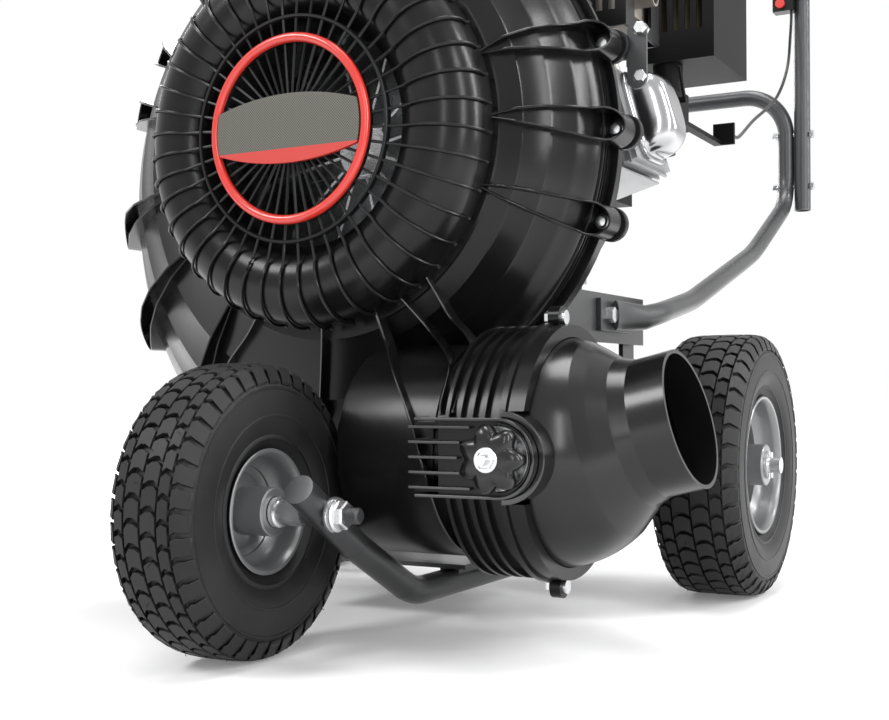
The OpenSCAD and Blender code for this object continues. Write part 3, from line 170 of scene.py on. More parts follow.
def mesh_badge(name):
    """Fine woven mesh texture with a red band along its lower edge."""
    mat, nt, bsdf = new_material(name)
    nodes = nt.nodes
    coord = nodes.new("ShaderNodeTexCoord")
    sep = nodes.new("ShaderNodeSeparateXYZ")
    link(nt, coord.outputs["Object"], sep.inputs[0])
    waves = []
    for axis in ("X", "Z"):
        m = nodes.new("ShaderNodeMath")
        m.operation = "MULTIPLY"
        m.inputs[1].default_value = 2 * math.pi / 0.003
        link(nt, sep.outputs[axis], m.inputs[0])
        s = nodes.new("ShaderNodeMath")
        s.operation = "SINE"
        link(nt, m.outputs[0], s.inputs[0])
        waves.append(s)
    prod = nodes.new("ShaderNodeMath")
    prod.operation = "MULTIPLY"
    link(nt, waves[0].outputs[0], prod.inputs[0])
    link(nt, waves[1].outputs[0], prod.inputs[1])
    ramp = nodes.new("ShaderNodeValToRGB")
    ramp.color_ramp.elements[0].position = 0.35
    ramp.color_ramp.elements[0].color = (0.035, 0.034, 0.028, 1)
    ramp.color_ramp.elements[1].position = 0.65
    ramp.color_ramp.elements[1].color = (0.14, 0.135, 0.11, 1)
    shift = nodes.new("ShaderNodeMath")
    shift.operation = "MULTIPLY_ADD"
    shift.inputs[1].default_value = 0.5
    shift.inputs[2].default_value = 0.5
    link(nt, prod.outputs[0], shift.inputs[0])
    link(nt, shift.outputs[0], ramp.inputs[0])
    below = nodes.new("ShaderNodeMath")
    below.operation = "LESS_THAN"
    below.inputs[1].default_value = SHAFT_H - 0.021
    link(nt, sep.outputs["Z"], below.inputs[0])
    mix = nodes.new("ShaderNodeMix")
    mix.data_type = "RGBA"
    mix.inputs[7].default_value = (0.55, 0.04, 0.03, 1)
    link(nt, below.outputs[0], mix.inputs[0])
    link(nt, ramp.outputs[0], mix.inputs[6])
    link(nt, mix.outputs[2], bsdf.inputs["Base Color"])
    bn = nodes.new("ShaderNodeBump")
    bn.inputs["Strength"].default_value = 0.25
    bn.inputs["Distance"].default_value = 0.0003
    link(nt, shift.outputs[0], bn.inputs["Height"])
    link(nt, bn.outputs[0], bsdf.inputs["Normal"])
    bsdf.inputs["Roughness"].default_value = 0.35
    bsdf.inputs["Coat Weight"].default_value = 0.4
    return mat


MAT = {
    "moulded_black": surface("moulded_black", (0.0045, 0.0045, 0.0048), 0.24, vary=0.2, grain=1400,
                             bump=0.10, rough_vary=0.06, dust=0.004, scratch=0.04,
                             specular=0.22),
    "nozzle_black": surface("nozzle_black", (0.0045, 0.0045, 0.0048), 0.23, vary=0.2, grain=500,
                            bump=0.05, rough_vary=0.05, specular=0.40),
    "guard_black": surface("guard_black", (0.005, 0.005, 0.0053), 0.30, vary=0.2, grain=1600,
                           bump=0.08, specular=0.25),
    "accent_red": surface("accent_red", (0.62, 0.03, 0.02), 0.24, vary=0.08, grain=500, bump=0.03,
                          coat=0.4, rough_vary=0.05),
    "badge_mesh": mesh_badge("badge_mesh"),
    "tyre_rubber": surface("tyre_rubber", (0.011, 0.011, 0.0115), 0.46, vary=0.3, grain=1100,
                           bump=0.5, patch=14, rough_vary=0.12, dust=0.008, specular=0.25),
    "mount_rubber": surface("mount_rubber", (0.012, 0.012, 0.012), 0.6, vary=0.2, grain=900,
                            bump=0.4),
    "grip_rubber": surface("grip_rubber", (0.012, 0.012, 0.0125), 0.75, vary=0.2, grain=2200,
                           bump=0.8),
    "rim_grey": surface("rim_grey", (0.21, 0.213, 0.217), 0.33, metal=0.55, vary=0.10, grain=1500,
                        bump=0.18, patch=9, coat=0.1, scratch=0.15),
    "frame_grey": surface("frame_grey", (0.045, 0.046, 0.048), 0.33, metal=0.5, vary=0.15,
                          grain=2600, bump=0.3, patch=8, coat=0.1, scratch=0.10),
    "zinc_steel": surface("zinc_steel", (0.66, 0.67, 0.68), 0.24, metal=0.9, vary=0.15, grain=1300,
                          bump=0.15, patch=25, rough_vary=0.1),
    "cast_alloy": surface("cast_alloy", (0.36, 0.365, 0.37), 0.36, metal=0.9, vary=0.15, grain=1700,
                          bump=0.8, patch=20, rough_vary=0.1),
    "polished_steel": surface("polished_steel", (0.40, 0.40, 0.41), 0.20, metal=1.0, vary=0.05,
                              grain=600, bump=0.05, patch=10, rough_vary=0.06),
    "heat_steel": surface("heat_steel", (0.33, 0.30, 0.27), 0.42, metal=0.85, vary=0.35, grain=1200,
                          bump=0.3, patch=22),
    "filter_foam": surface("filter_foam", (0.10, 0.085, 0.05), 0.9, vary=0.3, grain=700, bump=1.0),
    "plug_ceramic": surface("plug_ceramic", (0.7, 0.69, 0.65), 0.2, vary=0.05, grain=500, bump=0.03,
                            coat=0.5),
    "ear_grey": surface("ear_grey", (0.011, 0.011, 0.012), 0.4, vary=0.2, grain=900, bump=0.2,
                        specular=0.2),
    "rib_black": surface("rib_black", (0.006, 0.006, 0.0065), 0.17, vary=0.2, grain=900, bump=0.05,
                         coat=0.5, rough_vary=0.04, specular=0.5),
    "engine_black": surface("engine_black", (0.006, 0.006, 0.0065), 0.5, vary=0.2, grain=1200,
                            bump=0.3, specular=0.08),
    "bearing_rubber": surface("bearing_rubber", (0.012, 0.012, 0.012), 0.5, vary=0.2, grain=900,
                              bump=0.2),
}

# Nodes whose finish differs from that of their slot: the engine's dull black parts
FINISH = dict.fromkeys(("air_filter_case", "fuel_tank", "fan_shroud", "carburettor", "choke_lever"),
                       "engine_black")
FINISH.update(heat_plate="cast_alloy", side_bracket="frame_grey")
for row in frame["record"]["subparts"]:
    node = NODES[row["node"]]
    for i in range(len(node.data.materials)):
        node.material_slots[i].material = MAT[FINISH.get(row["node"], row["material_slot"])]


# ---- Mesh helpers ----

def piece(name, verts, faces, slot, body="chassis", stands_for=(), sharp=0.6, material=None):
    """A new mesh piece with a finish, on a body."""
    mesh = bpy.data.meshes.new(name)
    mesh.from_pydata([tuple(v) for v in verts], [], faces)
    mesh.validate()
    mesh.update()
    obj = bpy.data.objects.new(name, mesh)
    scene.collection.objects.link(obj)
    mesh.materials.append(MAT[material or slot])
    mesh.shade_smooth()
    mesh.set_sharp_from_angle(angle=sharp)
    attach(obj, body)
    if stands_for:
        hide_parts(*stands_for)
    return obj


class Builder:
    """Collects the faces of one piece."""

    def __init__(self):
        self.verts, self.faces = [], []

    def add(self, verts, faces):
        base = len(self.verts)
        self.verts += list(verts)
        self.faces += [[base + i for i in f] for f in faces]

    def grid(self, rows, close_u=False, close_v=False, flip=False):
        """Quads over rows of points. close_u joins the last row to the first."""
        n, m = len(rows), len(rows[0])
        faces = []
        for i in range(n if close_u else n - 1):
            for j in range(m if close_v else m - 1):
                k = [i * m + j, ((i + 1) % n) * m + j, ((i + 1) % n) * m + (j + 1) % m,
                     i * m + (j + 1) % m]
                faces.append(k[::-1] if flip else k)
        self.add([p for r in rows for p in r], faces)

    def revolve(self, origin, axis, side, profile, n=96, closed=True, a0=0.0, a1=360.0):
        """Turns a profile of [radius, along] about an axis."""
        axis, side = Vector(axis).normalized(), Vector(side).normalized()
        third = axis.cross(side)
        full = abs(a1 - a0) >= 359.9
        rows = []
        for i in range(n if full else n + 1):
            a = math.radians(a0 + (a1 - a0) * i / n)
            d = side * math.cos(a) + third * math.sin(a)
            rows.append([Vector(origin) + d * r + axis * z for r, z in profile])
        self.grid(rows, close_u=full, close_v=closed)
        if not full and closed:
            m = len(profile)
            base = len(self.verts) - len(rows) * m
            self.faces.append([base + j for j in range(m)][::-1])
            self.faces.append([base + n * m + j for j in range(m)])

    def tube(self, pts, r, n=8, caps=True):
        """A round bar along points."""
        pts = [Vector(p) for p in pts]
        rows = []
        up = Vector((0.3, 0.2, 0.93))
        for i, p in enumerate(pts):
            d = (pts[min(i + 1, len(pts) - 1)] - pts[max(i - 1, 0)]).normalized()
            s = d.cross(up)
            if s.length < 0.05:
                s = d.cross(Vector((1, 0, 0)))
            s.normalize()
            t = d.cross(s)
            rows.append([p + (s * math.cos(a) + t * math.sin(a)) * r
                         for a in [2 * math.pi * k / n for k in range(n)]])
        base = len(self.verts)
        self.grid(rows, close_v=True)
        if caps:
            m = len(rows) - 1
            self.faces.append([base + k for k in range(n)])
            self.faces.append([base + m * n + k for k in range(n)][::-1])

    def box(self, lo, hi, turn=None, at=(0, 0, 0)):
        """A box; turn and at place it."""
        vs = [Vector((x, y, z)) for x in (lo[0], hi[0]) for y in (lo[1], hi[1])
              for z in (lo[2], hi[2])]
        if turn is not None:
            vs = [turn @ v for v in vs]
        vs = [v + Vector(at) for v in vs]
        self.add(vs, [[0, 1, 3, 2], [4, 6, 7, 5], [0, 4, 5, 1], [2, 3, 7, 6],
                      [0, 2, 6, 4], [1, 5, 7, 3]])

    def make(self, name, slot, body="chassis", stands_for=(), sharp=0.6, bevel=0.0, material=None):
        obj = piece(name, self.verts, self.faces, slot, body, stands_for, sharp, material)
        if bevel:
            mod = obj.modifiers.new("bevel", "BEVEL")
            mod.width, mod.segments, mod.limit_method = bevel, 2, "ANGLE"
            mod.harden_normals = True
        return obj


# ---- Fan housing ----

# Outline of the housing's wall as [share of the way from the bell to the wall, Y, rise]
WALL = [
    (0.00, 0.1545, 0.0), (0.05, 0.1548, 0.0), (0.07, 0.1575, 0.0), (0.30, 0.1690, 0.0),
    (0.33, 0.1705, 0.0), (0.345, 0.1740, 0.0), (0.57, 0.1950, 0.0), (0.60, 0.1975, 0.0),
    (0.615, 0.2020, 0.0), (0.80, 0.2280, 0.0), (0.83, 0.2320, 0.0), (0.842, 0.2370, 0.0),
    (0.93, 0.2510, 0.0), (0.985, 0.2610, 0.0), (1.0, 0.2660, 0.0), (1.0, 0.2700, 0.0),
    (1.0, 0.2704, 0.0022), (1.0, 0.2722, 0.0022), (1.0, 0.2726, 0.0), (1.0, 0.2764, 0.0),
    (1.0, 0.2768, 0.0022), (1.0, 0.2786, 0.0022), (1.0, 0.2790, 0.0), (1.0, 0.2828, 0.0),
    (1.0, 0.2832, 0.0022), (1.0, 0.2850, 0.0022), (1.0, 0.2854, 0.0), (1.0, 0.2940, 0.0),
    (1.0, 0.2940, 0.0095), (1.0, 0.2945, 0.0100), (1.0, 0.3020, 0.0100)]
PATH = [(0.02, 0.1545), (0.30, 0.1690), (0.58, 0.1960), (0.82, 0.2300), (0.95, 0.2540),
        (1.0, 0.2680), (1.0, 0.2930)]


def housing():
    """The front shell: its wall turned along the volute, and the discharge tube."""
    b = Builder()
    thick = 0.004

    def row(theta, limit=None):
        def rr(f):
            top = limit or spiral_r(theta)
            return BELL_EDGE + (top - BELL_EDGE) * f
        out = [(0.1228, 0.1540)] + [(rr(f) + d, y) for f, y, d in WALL]
        back = [(rr(1) - thick, 0.302), (rr(1) - thick, 0.268), (rr(0.83) - thick, 0.236),
                (rr(0.55), 0.199), (rr(0.3), 0.174), (0.208, 0.158), (0.1228, 0.158)]
        return [polar(theta, r, y) for r, y in out + back]

    rows = [row(-42 + i * 2) for i in range(167)]
    rows += [row(290 + i * 2, ROUND_R) for i in range(14)]
    b.grid(rows, close_u=True, close_v=True)
    b.make("housing_front", "moulded_black", stands_for=("front_shell",), sharp=0.45)
    d = Builder()
    d.revolve(spot(0, DUCT_Y, DUCT_H), ALONG_X, ALONG_Z, [
        (0.0005, 0.052), (0.100, 0.052), (0.107, 0.0535), (0.1108, 0.057), (0.112, 0.062),
        (0.112, 0.168), (0.114, 0.1685), (0.114, 0.1705), (0.112, 0.171), (0.112, 0.189),
        (0.112, 0.205), (0.108, 0.205), (0.108, 0.058), (0.0005, 0.057)], n=128)
    d.make("duct_tube", "moulded_black", sharp=0.5)


def surface_y(theta, r):
    """Y of the housing's wall at a radius."""
    f = (r - BELL_EDGE) / (spiral_r(theta) - BELL_EDGE)
    if f >= 1:
        return WALL_BACK_Y
    for (f0, y0), (f1, y1) in zip(PATH, PATH[1:]):
        if f <= f1:
            return y0 + (y1 - y0) * max(0, f - f0) / max(1e-6, f1 - f0)
    return WALL_BACK_Y


def ridge_y(theta, r):
    """Y of a hairpin's crest at a radius."""
    wall = spiral_r(theta)
    knots = [(BELL_EDGE - 0.004, 0.1500)]
    for f, y in ((0.3, 0.1585), (0.58, 0.1790), (0.82, 0.2080), (1.0, 0.2380)):
        knots.append((BELL_EDGE + (wall - BELL_EDGE) * f, y))
    knots.append((wall + 0.028, 0.2680))
    for (r0, y0), (r1, y1) in zip(knots, knots[1:]):
        if r <= r1:
            return y0 + (y1 - y0) * max(0, r - r0) / (r1 - r0)
    return knots[-1][1]


def hairpins():
    """Walls that part from a point at the bell's edge and loop round a flange bolt."""
    b = Builder()
    half, thick = 0.0172, 0.0030
    for a in BOLTS:
        centre = spiral_r(a) + BOLT_OUT
        start = BELL_EDGE - 0.003
        line = [(start + (centre - start) * i / 22, 0.0012 + (half - 0.0012) * (i / 22) ** 0.9)
                for i in range(22)]
        arc = [(centre + half * math.sin(math.pi * i / 24), half * math.cos(math.pi * i / 24))
               for i in range(25)]
        path = line + arc + [(r, -t) for r, t in reversed(line)]
        rows = []
        for i, (r, t) in enumerate(path):
            r0, t0 = path[max(0, i - 1)]
            r1, t1 = path[min(len(path) - 1, i + 1)]
            d = math.hypot(r1 - r0, t1 - t0)
            nr, nt = -(t1 - t0) / d * thick / 2, (r1 - r0) / d * thick / 2
            low = surface_y(a, min(r, spiral_r(a) + 0.02)) + 0.003
            top = ridge_y(a, r)
            ring = []
            for k, y in ((-1, low), (1, low), (0.8, top), (0.3, top - 0.0007), (-0.3, top - 0.0007),
                         (-0.8, top)):
                rr, tt = r + nr * k, t + nt * k
                ring.append(polar(a + math.degrees(math.atan2(tt, rr)), math.hypot(rr, tt), y))
            rows.append(ring)
        base = len(b.verts)
        b.grid(rows, close_v=True)
        n = len(rows) - 1
        b.faces.append([base + k for k in range(6)][::-1])
        b.faces.append([base + n * 6 + k for k in range(6)])
    b.make("hairpin_ribs", "moulded_black", sharp=0.6)


def flange_bosses():
    """Round bosses of the front flange and the ears of the rear flange."""
    b = Builder()
    for a in BOLTS:
        centre = polar(a, spiral_r(a) + BOLT_OUT, 0)
        b.revolve(centre, ALONG_Y, ALONG_X, [
            (0.0043, 0.2895), (0.0120, 0.2895), (0.0128, 0.2905), (0.0165, 0.2910),
            (0.0165, 0.3018), (0.0043, 0.3018)], n=40)
    b.make("flange_bosses", "moulded_black", sharp=0.5)
    ears = Builder()
    for a in BOLTS:
        centre = polar(a, spiral_r(a) + 0.0125, 0)
        ears.revolve(centre, ALONG_Y, ALONG_X, [
            (0.0085, 0.3022), (0.0180, 0.3022), (0.0190, 0.3032), (0.0190, 0.3100),
            (0.0180, 0.3110), (0.0085, 0.3110)], n=40)
    ears.make("rear_ears", "moulded_black", sharp=0.5, material="ear_grey")


def bolt_heads():
    """Flange bolts: domed flange heads in the loops, and nuts behind."""
    b = Builder()
    for a in BOLTS:
        r = spiral_r(a) + BOLT_OUT
        c = polar(a, r, 0)
        b.revolve(c, ALONG_Y, ALONG_X, [
            (0.0001, 0.2808), (0.0030, 0.2809), (0.0056, 0.2816), (0.0066, 0.2828),
            (0.0068, 0.2862), (0.0083, 0.2868), (0.0085, 0.2894), (0.0001, 0.2894)], n=36)
        extra = 0.004 if a == BRACKET_ANGLE else 0.0
        b.revolve(c, ALONG_Y, ALONG_X, [
            (0.0001, 0.3112 + extra), (0.0072, 0.3112 + extra), (0.0072, 0.3162 + extra),
            (0.0062, 0.3172 + extra), (0.0040, 0.3172 + extra), (0.0040, 0.3230 + extra),
            (0.0034, 0.3236 + extra), (0.0001, 0.3236 + extra)], n=6)
        b.revolve(c, ALONG_Y, ALONG_X, [
            (0.0001, 0.2880), (0.0040, 0.2880), (0.0040, 0.3236), (0.0001, 0.3236)], n=24)
    # the two bolts of the bracket beside the housing
    top = polar(BRACKET_ANGLE, spiral_r(BRACKET_ANGLE) + BOLT_OUT, 0)
    for up in BRACKET_HOLES_Z:
        c = top + Vector((BRACKET_OUT, 0, up))
        b.revolve(c, ALONG_Y, ALONG_X, [
            (0.0001, 0.3052), (0.0060, 0.3052), (0.0072, 0.3062), (0.0072, 0.3108),
            (0.0001, 0.3108)], n=6)
        b.revolve(c, ALONG_Y, ALONG_X, [
            (0.0001, 0.3090), (0.0040, 0.3090), (0.0040, 0.3226), (0.0001, 0.3226)], n=24)
        b.revolve(c, ALONG_Y, ALONG_X, [
            (0.0041, 0.3150), (0.0072, 0.3150), (0.0072, 0.3196), (0.0062, 0.3206),
            (0.0041, 0.3206)], n=6)
    b.make("flange_bolts", "zinc_steel", stands_for=("shell_bolts",), sharp=0.6)


# ---- Intake guard ----

def intake_guard():
    """44 wires over the bell, with their rings and hub."""
    b = Builder()
    wire = 0.00165
    run = BELL_TUBE + 0.0024
    count = 44
    for i in range(count):
        theta = (i + 0.5) * 360 / count
        pts = [(0.018, 0.0905), (0.060, 0.0905), (0.100, 0.0905), (0.122, 0.0900)]
        for k in range(17):
            a = math.radians(-118 + 132 * k / 16)
            pts.append((BELL_C + run * math.cos(a), BELL_Y + run * math.sin(a)))
        r_end, y_end = pts[-1]
        pts += [(r_end + 0.0006, y_end + 0.0018), (r_end + 0.0020, y_end + 0.0026),
                (r_end + 0.0030, y_end + 0.0014)]
        b.tube([polar(theta, r, y) for r, y in pts], wire, 7)
    centre, axis, side = spot(0, 0, SHAFT_H), (0, 1, 0), (1, 0, 0)
    b.revolve(centre, axis, side, [(0.1160, 0.0880), (0.1168, 0.0870), (0.1192, 0.0870),
                                   (0.1200, 0.0880), (0.1200, 0.0945), (0.1160, 0.0945)], n=128)
    b.revolve(centre, axis, side, [(0.0900, 0.0876), (0.1000, 0.0876), (0.1000, 0.0928),
                                   (0.0900, 0.0928)], n=128)
    b.revolve(centre, axis, side, [(0.0001, 0.0872), (0.0200, 0.0872), (0.0218, 0.0885),
                                   (0.0218, 0.0938), (0.0001, 0.0938)], n=48)
    b.make("guard_wires", "guard_black", stands_for=("intake_guard", "guard_hoops"), sharp=0.7)


# ---- Tyres ----

def crown(v, half, r):
    """Radius of the tread's top at a distance v from the middle."""
    v = abs(v)
    pts = [(0, r), (half - 24, r - 0.3), (half - 14, r - 1.6), (half - 8, r - 4.0),
           (half - 4, r - 9.0), (half - 2, r - 14.0), (half, r - 24.0)]
    for (v0, r0), (v1, r1) in zip(pts, pts[1:]):
        if v <= v1:
            return r0 + (r1 - r0) * (v - v0) / max(1e-6, v1 - v0)
    return pts[-1][1]


def tyre(name, node, body, centre, r, w, rim, pitches):
    """A turf tyre in millimetres about the X axis: hollow carcass, ridges and lugs."""
    half = w / 2 - 1
    b = Builder()
    floor = r - 5.5
    outside = [
        (rim - 5, half - 15), (rim + 3, half - 11), (rim + 8, half - 7), (rim + 9, half - 5),
        (rim + 11, half - 5), (rim + 13, half - 6), (rim + 20, half - 2.5),
        (rim + 27, half - 0.8), (rim + 30, half - 0.6), (rim + 30.6, half + 0.1),
        (rim + 32.4, half + 0.1), (rim + 33, half - 0.6), (r - 34, half - 0.6),
        (r - 26, half - 1.4), (r - 25.4, half - 0.7), (r - 23.6, half - 0.7),
        (r - 23, half - 1.8), (r - 16, half - 4.0), (floor - 3, half - 9),
        (floor - 0.8, half - 15), (floor, half - 22)]
    inside = [(r - 14, half - 28), (r - 18, half - 16), (r - 34, half - 9), (rim + 24, half - 9),
              (rim + 8, half - 16), (rim - 5, half - 24)]
    prof = (outside + [(q, -x) for q, x in reversed(outside)]
            + [(q, -x) for q, x in reversed(inside)] + inside)
    b.revolve(centre, ALONG_X, ALONG_Z, [(q * MM, x * MM) for q, x in prof], n=144)

    def put(u, v, q):
        a = u / r
        return Vector(centre) + Vector((v * MM, -math.sin(a) * q * MM, math.cos(a) * q * MM))

    def lug(corners, sink=1.2, inset=0.5):
        """corners: (u, v) round the lug."""
        cu = sum(c[0] for c in corners) / len(corners)
        cv = sum(c[1] for c in corners) / len(corners)
        n = len(corners)
        rows = []
        for kind in (0, 1, 2):
            ring = []
            for u, v in corners:
                k = 1 - (0, 0.25, 1)[kind] * inset / max(2.5, math.dist((u, v), (cu, cv)))
                uu, vv = cu + (u - cu) * k, cv + (v - cv) * k
                top = crown(vv, half, r)
                ring.append(put(uu, vv, (min(floor, top) - sink, top - 0.5, top)[kind]))
            rows.append(ring)
        base = len(b.verts)
        b.grid(rows, close_v=True)
        b.faces.append([base + 2 * n + j for j in range(n)])

    around = 2 * math.pi * r
    pitch = around / pitches
    deep = pitch * 0.78

    def block(u, stations, rise):
        """A bent block: stations across the tread, each with its step round the tyre."""
        near = [(u + q * pitch, v) for v, q in zip(stations, rise)]
        far = [(u + deep + q * pitch, v) for v, q in zip(stations, rise)]
        lug(near + far[::-1])

    for i in range(pitches):
        for side in (-1, 1):
            u0 = i * pitch + (pitch / 2 if side > 0 else 0)
            block(u0, [side * v for v in (1.1, half * 0.16, half * 0.30, half * 0.40)],
                  (0.16, 0.0, 0.0, 0.22))
            block(u0, [side * v for v in (half * 0.40 + 2.0, half * 0.54, half * 0.68)],
                  (0.62, 0.46, 0.58))
            block(u0, [side * v for v in (half * 0.68 + 2.0, half * 0.82, half - 5, half - 1.0)],
                  (0.12, 0.0, 0.06, 0.10))
    rng = random.Random(7)
    for i in range(26):
        u, v = rng.uniform(0.12, 0.88) * around, rng.uniform(-0.8, 0.8) * half
        q = crown(v, half, r)
        length = rng.uniform(2, 4.5)
        b.tube([put(u, v, q - 1), put(u + 0.3, v, q + length * 0.5),
                put(u + 0.9, v + 0.4, q + length)], 0.00035, 5)
    b.make(name, "tyre_rubber", body, stands_for=(node,), sharp=0.65)


def blade(b, pts, tall, thick=0.0026):
    """A thin moulded web along points of the wall, standing out towards the front."""
    rows = []
    for i, p in enumerate(pts):
        d = (pts[min(i + 1, len(pts) - 1)] - pts[max(i - 1, 0)]).normalized()
        out = Vector((0, -1, 0))
        side = d.cross(out).normalized() * thick / 2
        lo, hi = p - out * 0.006, p + out * tall
        rows.append([lo - side, lo + side, hi + side * 0.8, hi - side * 0.8])
    base = len(b.verts)
    b.grid(rows, close_v=True)
    n = len(rows) - 1
    b.faces.append([base + k for k in range(4)][::-1])
    b.faces.append([base + n * 4 + k for k in range(4)])


def smooth_path(knots, steps=8):
    """Points on a smooth curve through the knots."""
    pts = [Vector(k) for k in knots]
    out = []
    for i in range(len(pts) - 1):
        p0, p1, p2 = pts[max(0, i - 1)], pts[i], pts[i + 1]
        p3 = pts[min(len(pts) - 1, i + 2)]
        for k in range(steps):
            t = k / steps
            out.append(0.5 * ((2 * p1) + (p2 - p0) * t + (2 * p0 - 5 * p1 + 4 * p2 - p3) * t * t
                              + (3 * p1 - p0 - 3 * p2 + p3) * t ** 3))
    out.append(pts[-1])
    return out


def cable():
    """The throttle cable as one easy curve from the lever to the carburettor."""
    b = Builder()
    knots = [(0.2444, 1.2660, 0.926), (0.2444, 1.2560, 0.880), (0.2444, 1.2300, 0.815),
             (0.2444, 1.1500, 0.748), (0.2460, 1.0000, 0.684), (0.2600, 0.8700, 0.636),
             (0.2680, 0.8100, 0.624), (0.2680, 0.7740, 0.622)]
    b.tube(smooth_path([spot(*k) for k in knots]), 0.0026, 10)
    b.make("cable_sheath", "guard_black", stands_for=("throttle_cable",), sharp=0.7)


def on_bore(x, y, z):
    """A point beside the cylinder's axis, in millimetres, z along the axis."""
    a = math.radians(90 - BORE_TILT)
    return spot((x * math.cos(a) + z * math.sin(a)) * MM, BORE_Y + y * MM,
                SHAFT_H + (-x * math.sin(a) + z * math.cos(a)) * MM)


def rocker_dome():
    """The polished cover over the valves: a flange, a step and a dome with soft corners."""
    b = Builder()
    def ring(half_x, half_y, z, power):
        out = []
        for k in range(72):
            a = 2 * math.pi * k / 72
            c, d = math.cos(a), math.sin(a)
            out.append(on_bore(half_x * math.copysign(abs(c) ** (2 / power), c),
                               half_y * math.copysign(abs(d) ** (2 / power), d), z))
        return out
    rows = [ring(58, 44, 238, 5), ring(58.6, 44.6, 238.6, 5), ring(58.6, 44.6, 242.4, 5),
            ring(58, 44, 243, 5), ring(53, 40, 243.2, 5), ring(52.4, 39.4, 244, 5),
            ring(52, 39, 250, 5)]
    for k in range(1, 15):
        t = math.radians(90 * k / 14)
        rows.append(ring(52 - 25 * (1 - math.cos(t)), 39 - 19 * (1 - math.cos(t)),
                         250 + 35 * math.sin(t), 5 - 2.2 * k / 14))
    base = len(b.verts)
    b.grid(rows, close_v=True)
    n = len(rows) - 1
    b.faces.append([base + k for k in range(72)][::-1])
    b.faces.append([base + n * 72 + k for k in range(72)])
    b.make("valve_cover", "polished_steel", stands_for=("rocker_cover",), sharp=0.7)


def fillet(pts, radii, step=0.006):
    """A path along straight legs with round corners."""
    pts = [Vector(p) for p in pts]
    out = [pts[0]]
    for i in range(1, len(pts) - 1):
        a, b, c = pts[i - 1:i + 2]
        u, v = (a - b).normalized(), (c - b).normalized()
        turn = math.pi - u.angle(v)
        r = radii[i - 1]
        cut = r * math.tan(turn / 2)
        centre = b + (u + v).normalized() * (r / math.cos(turn / 2))
        p, q = b + u * cut - centre, b + v * cut - centre
        n = max(4, int(r * turn / step))
        for k in range(n + 1):
            w = k / n
            out.append(centre + (p * math.sin((1 - w) * turn) + q * math.sin(w * turn))
                       / math.sin(turn))
    out.append(pts[-1])
    return out


def lower_handle():
    """The lower handle: an arch of tube with flattened feet on the plates at the deck's sides."""
    b = Builder()
    x, y, top = HANDLE_X, HANDLE_Y, ARCH_TOP
    legs = [(0.603, 0.3614), (0.736, 0.385), (1.060, 0.480), (y, 0.590)]
    knots = [(x, *p) for p in legs] + [(x, y, top), (-x, y, top)] + [(-x, *p) for p in legs[::-1]]
    radii = [0.5, 0.5, 0.075, 0.075, 0.075, 0.075, 0.5, 0.5]
    b.tube(fillet([spot(*k) for k in knots], radii), TUBE_R, 28)
    for s in (-1, 1):
        rows = []
        for k in range(25):
            t = k / 24
            e = t * t * (3 - 2 * t)
            yy = 0.612 - 0.132 * t
            cx = x + (0.2115 - x) * e
            z = 0.353 + max(0.0, (yy - 0.556) * 0.178)
            half_x, half_z = 0.0144 + (0.0052 - 0.0144) * e, 0.0144 + (0.0185 - 0.0144) * e
            rows.append([spot(s * (cx + half_x * math.cos(a)), yy, z + half_z * math.sin(a))
                         for a in [2 * math.pi * i / 32 for i in range(32)]])
        base = len(b.verts)
        b.grid(rows, close_v=True, flip=s < 0)
        b.faces.append([base + i for i in range(32)][::s])
        b.faces.append([base + 24 * 32 + i for i in range(32)][::-s])
        lo, hi = sorted((s * DECK_SIDE_X, s * (DECK_SIDE_X + 0.006)))
        b.box((lo, 0.446, DECK_Z0 + 0.014), (hi, 0.550, DECK_Z0 + 0.054), at=spot(0, 0, 0))
    b.make("handle_arch", "frame_grey", stands_for=("lower_handle",), sharp=0.7, bevel=0.0008)


def collar_rim():
    """The raised rim round the knob's seat, the short ribs that run up to it, and its outer lip."""
    b = Builder()
    z0, turn_x, back_y = DUCT_H, BALL_X, COLLAR_FRONT
    def u_wall(r_in, r_out, y_front, x_end, y_back):
        path = [(x_end, 1)] if x_end < turn_x else []
        rows = []
        def section(cx, cz, dx, dz):
            rows.append([spot(cx + dx * r, y, cz + dz * r)
                         for r, y in ((r_in, y_back), (r_in, y_front + 0.0005),
                                      (r_in + 0.0005, y_front), (r_out - 0.0005, y_front),
                                      (r_out, y_front + 0.0005), (r_out, y_back))])
        if path:
            section(x_end, z0, 0, 1)
        for k in range(41):
            a = math.radians(90 - 180 * k / 40)
            section(turn_x, z0, math.cos(a), math.sin(a))
        if path:
            section(x_end, z0, 0, -1)
        base = len(b.verts)
        b.grid(rows, close_v=True)
        n = len(rows) - 1
        b.faces.append([base + k for k in range(6)][::-1])
        b.faces.append([base + n * 6 + k for k in range(6)])
    u_wall(0.0352, 0.0382, 0.0545, 0.168, back_y + 0.02)
    u_wall(0.0318, 0.0334, 0.0575, BALL_X, back_y)
    u_wall(0.0384, 0.0440, 0.0660, BALL_X, 0.105)
    for i in range(-2, 3):
        z = z0 + 0.0145 * i
        end = 0.246 - MM * 33 * math.cos(math.asin(min(1, abs(i) * 14.5 / 36)))
        b.box((0.160, 0.0560, z - 0.0012), (end, back_y + 0.004, z + 0.0012),
              at=spot(0, 0, 0))
    b.make("collar_rim", "moulded_black", sharp=0.6, bevel=0.0005, material="rib_black")


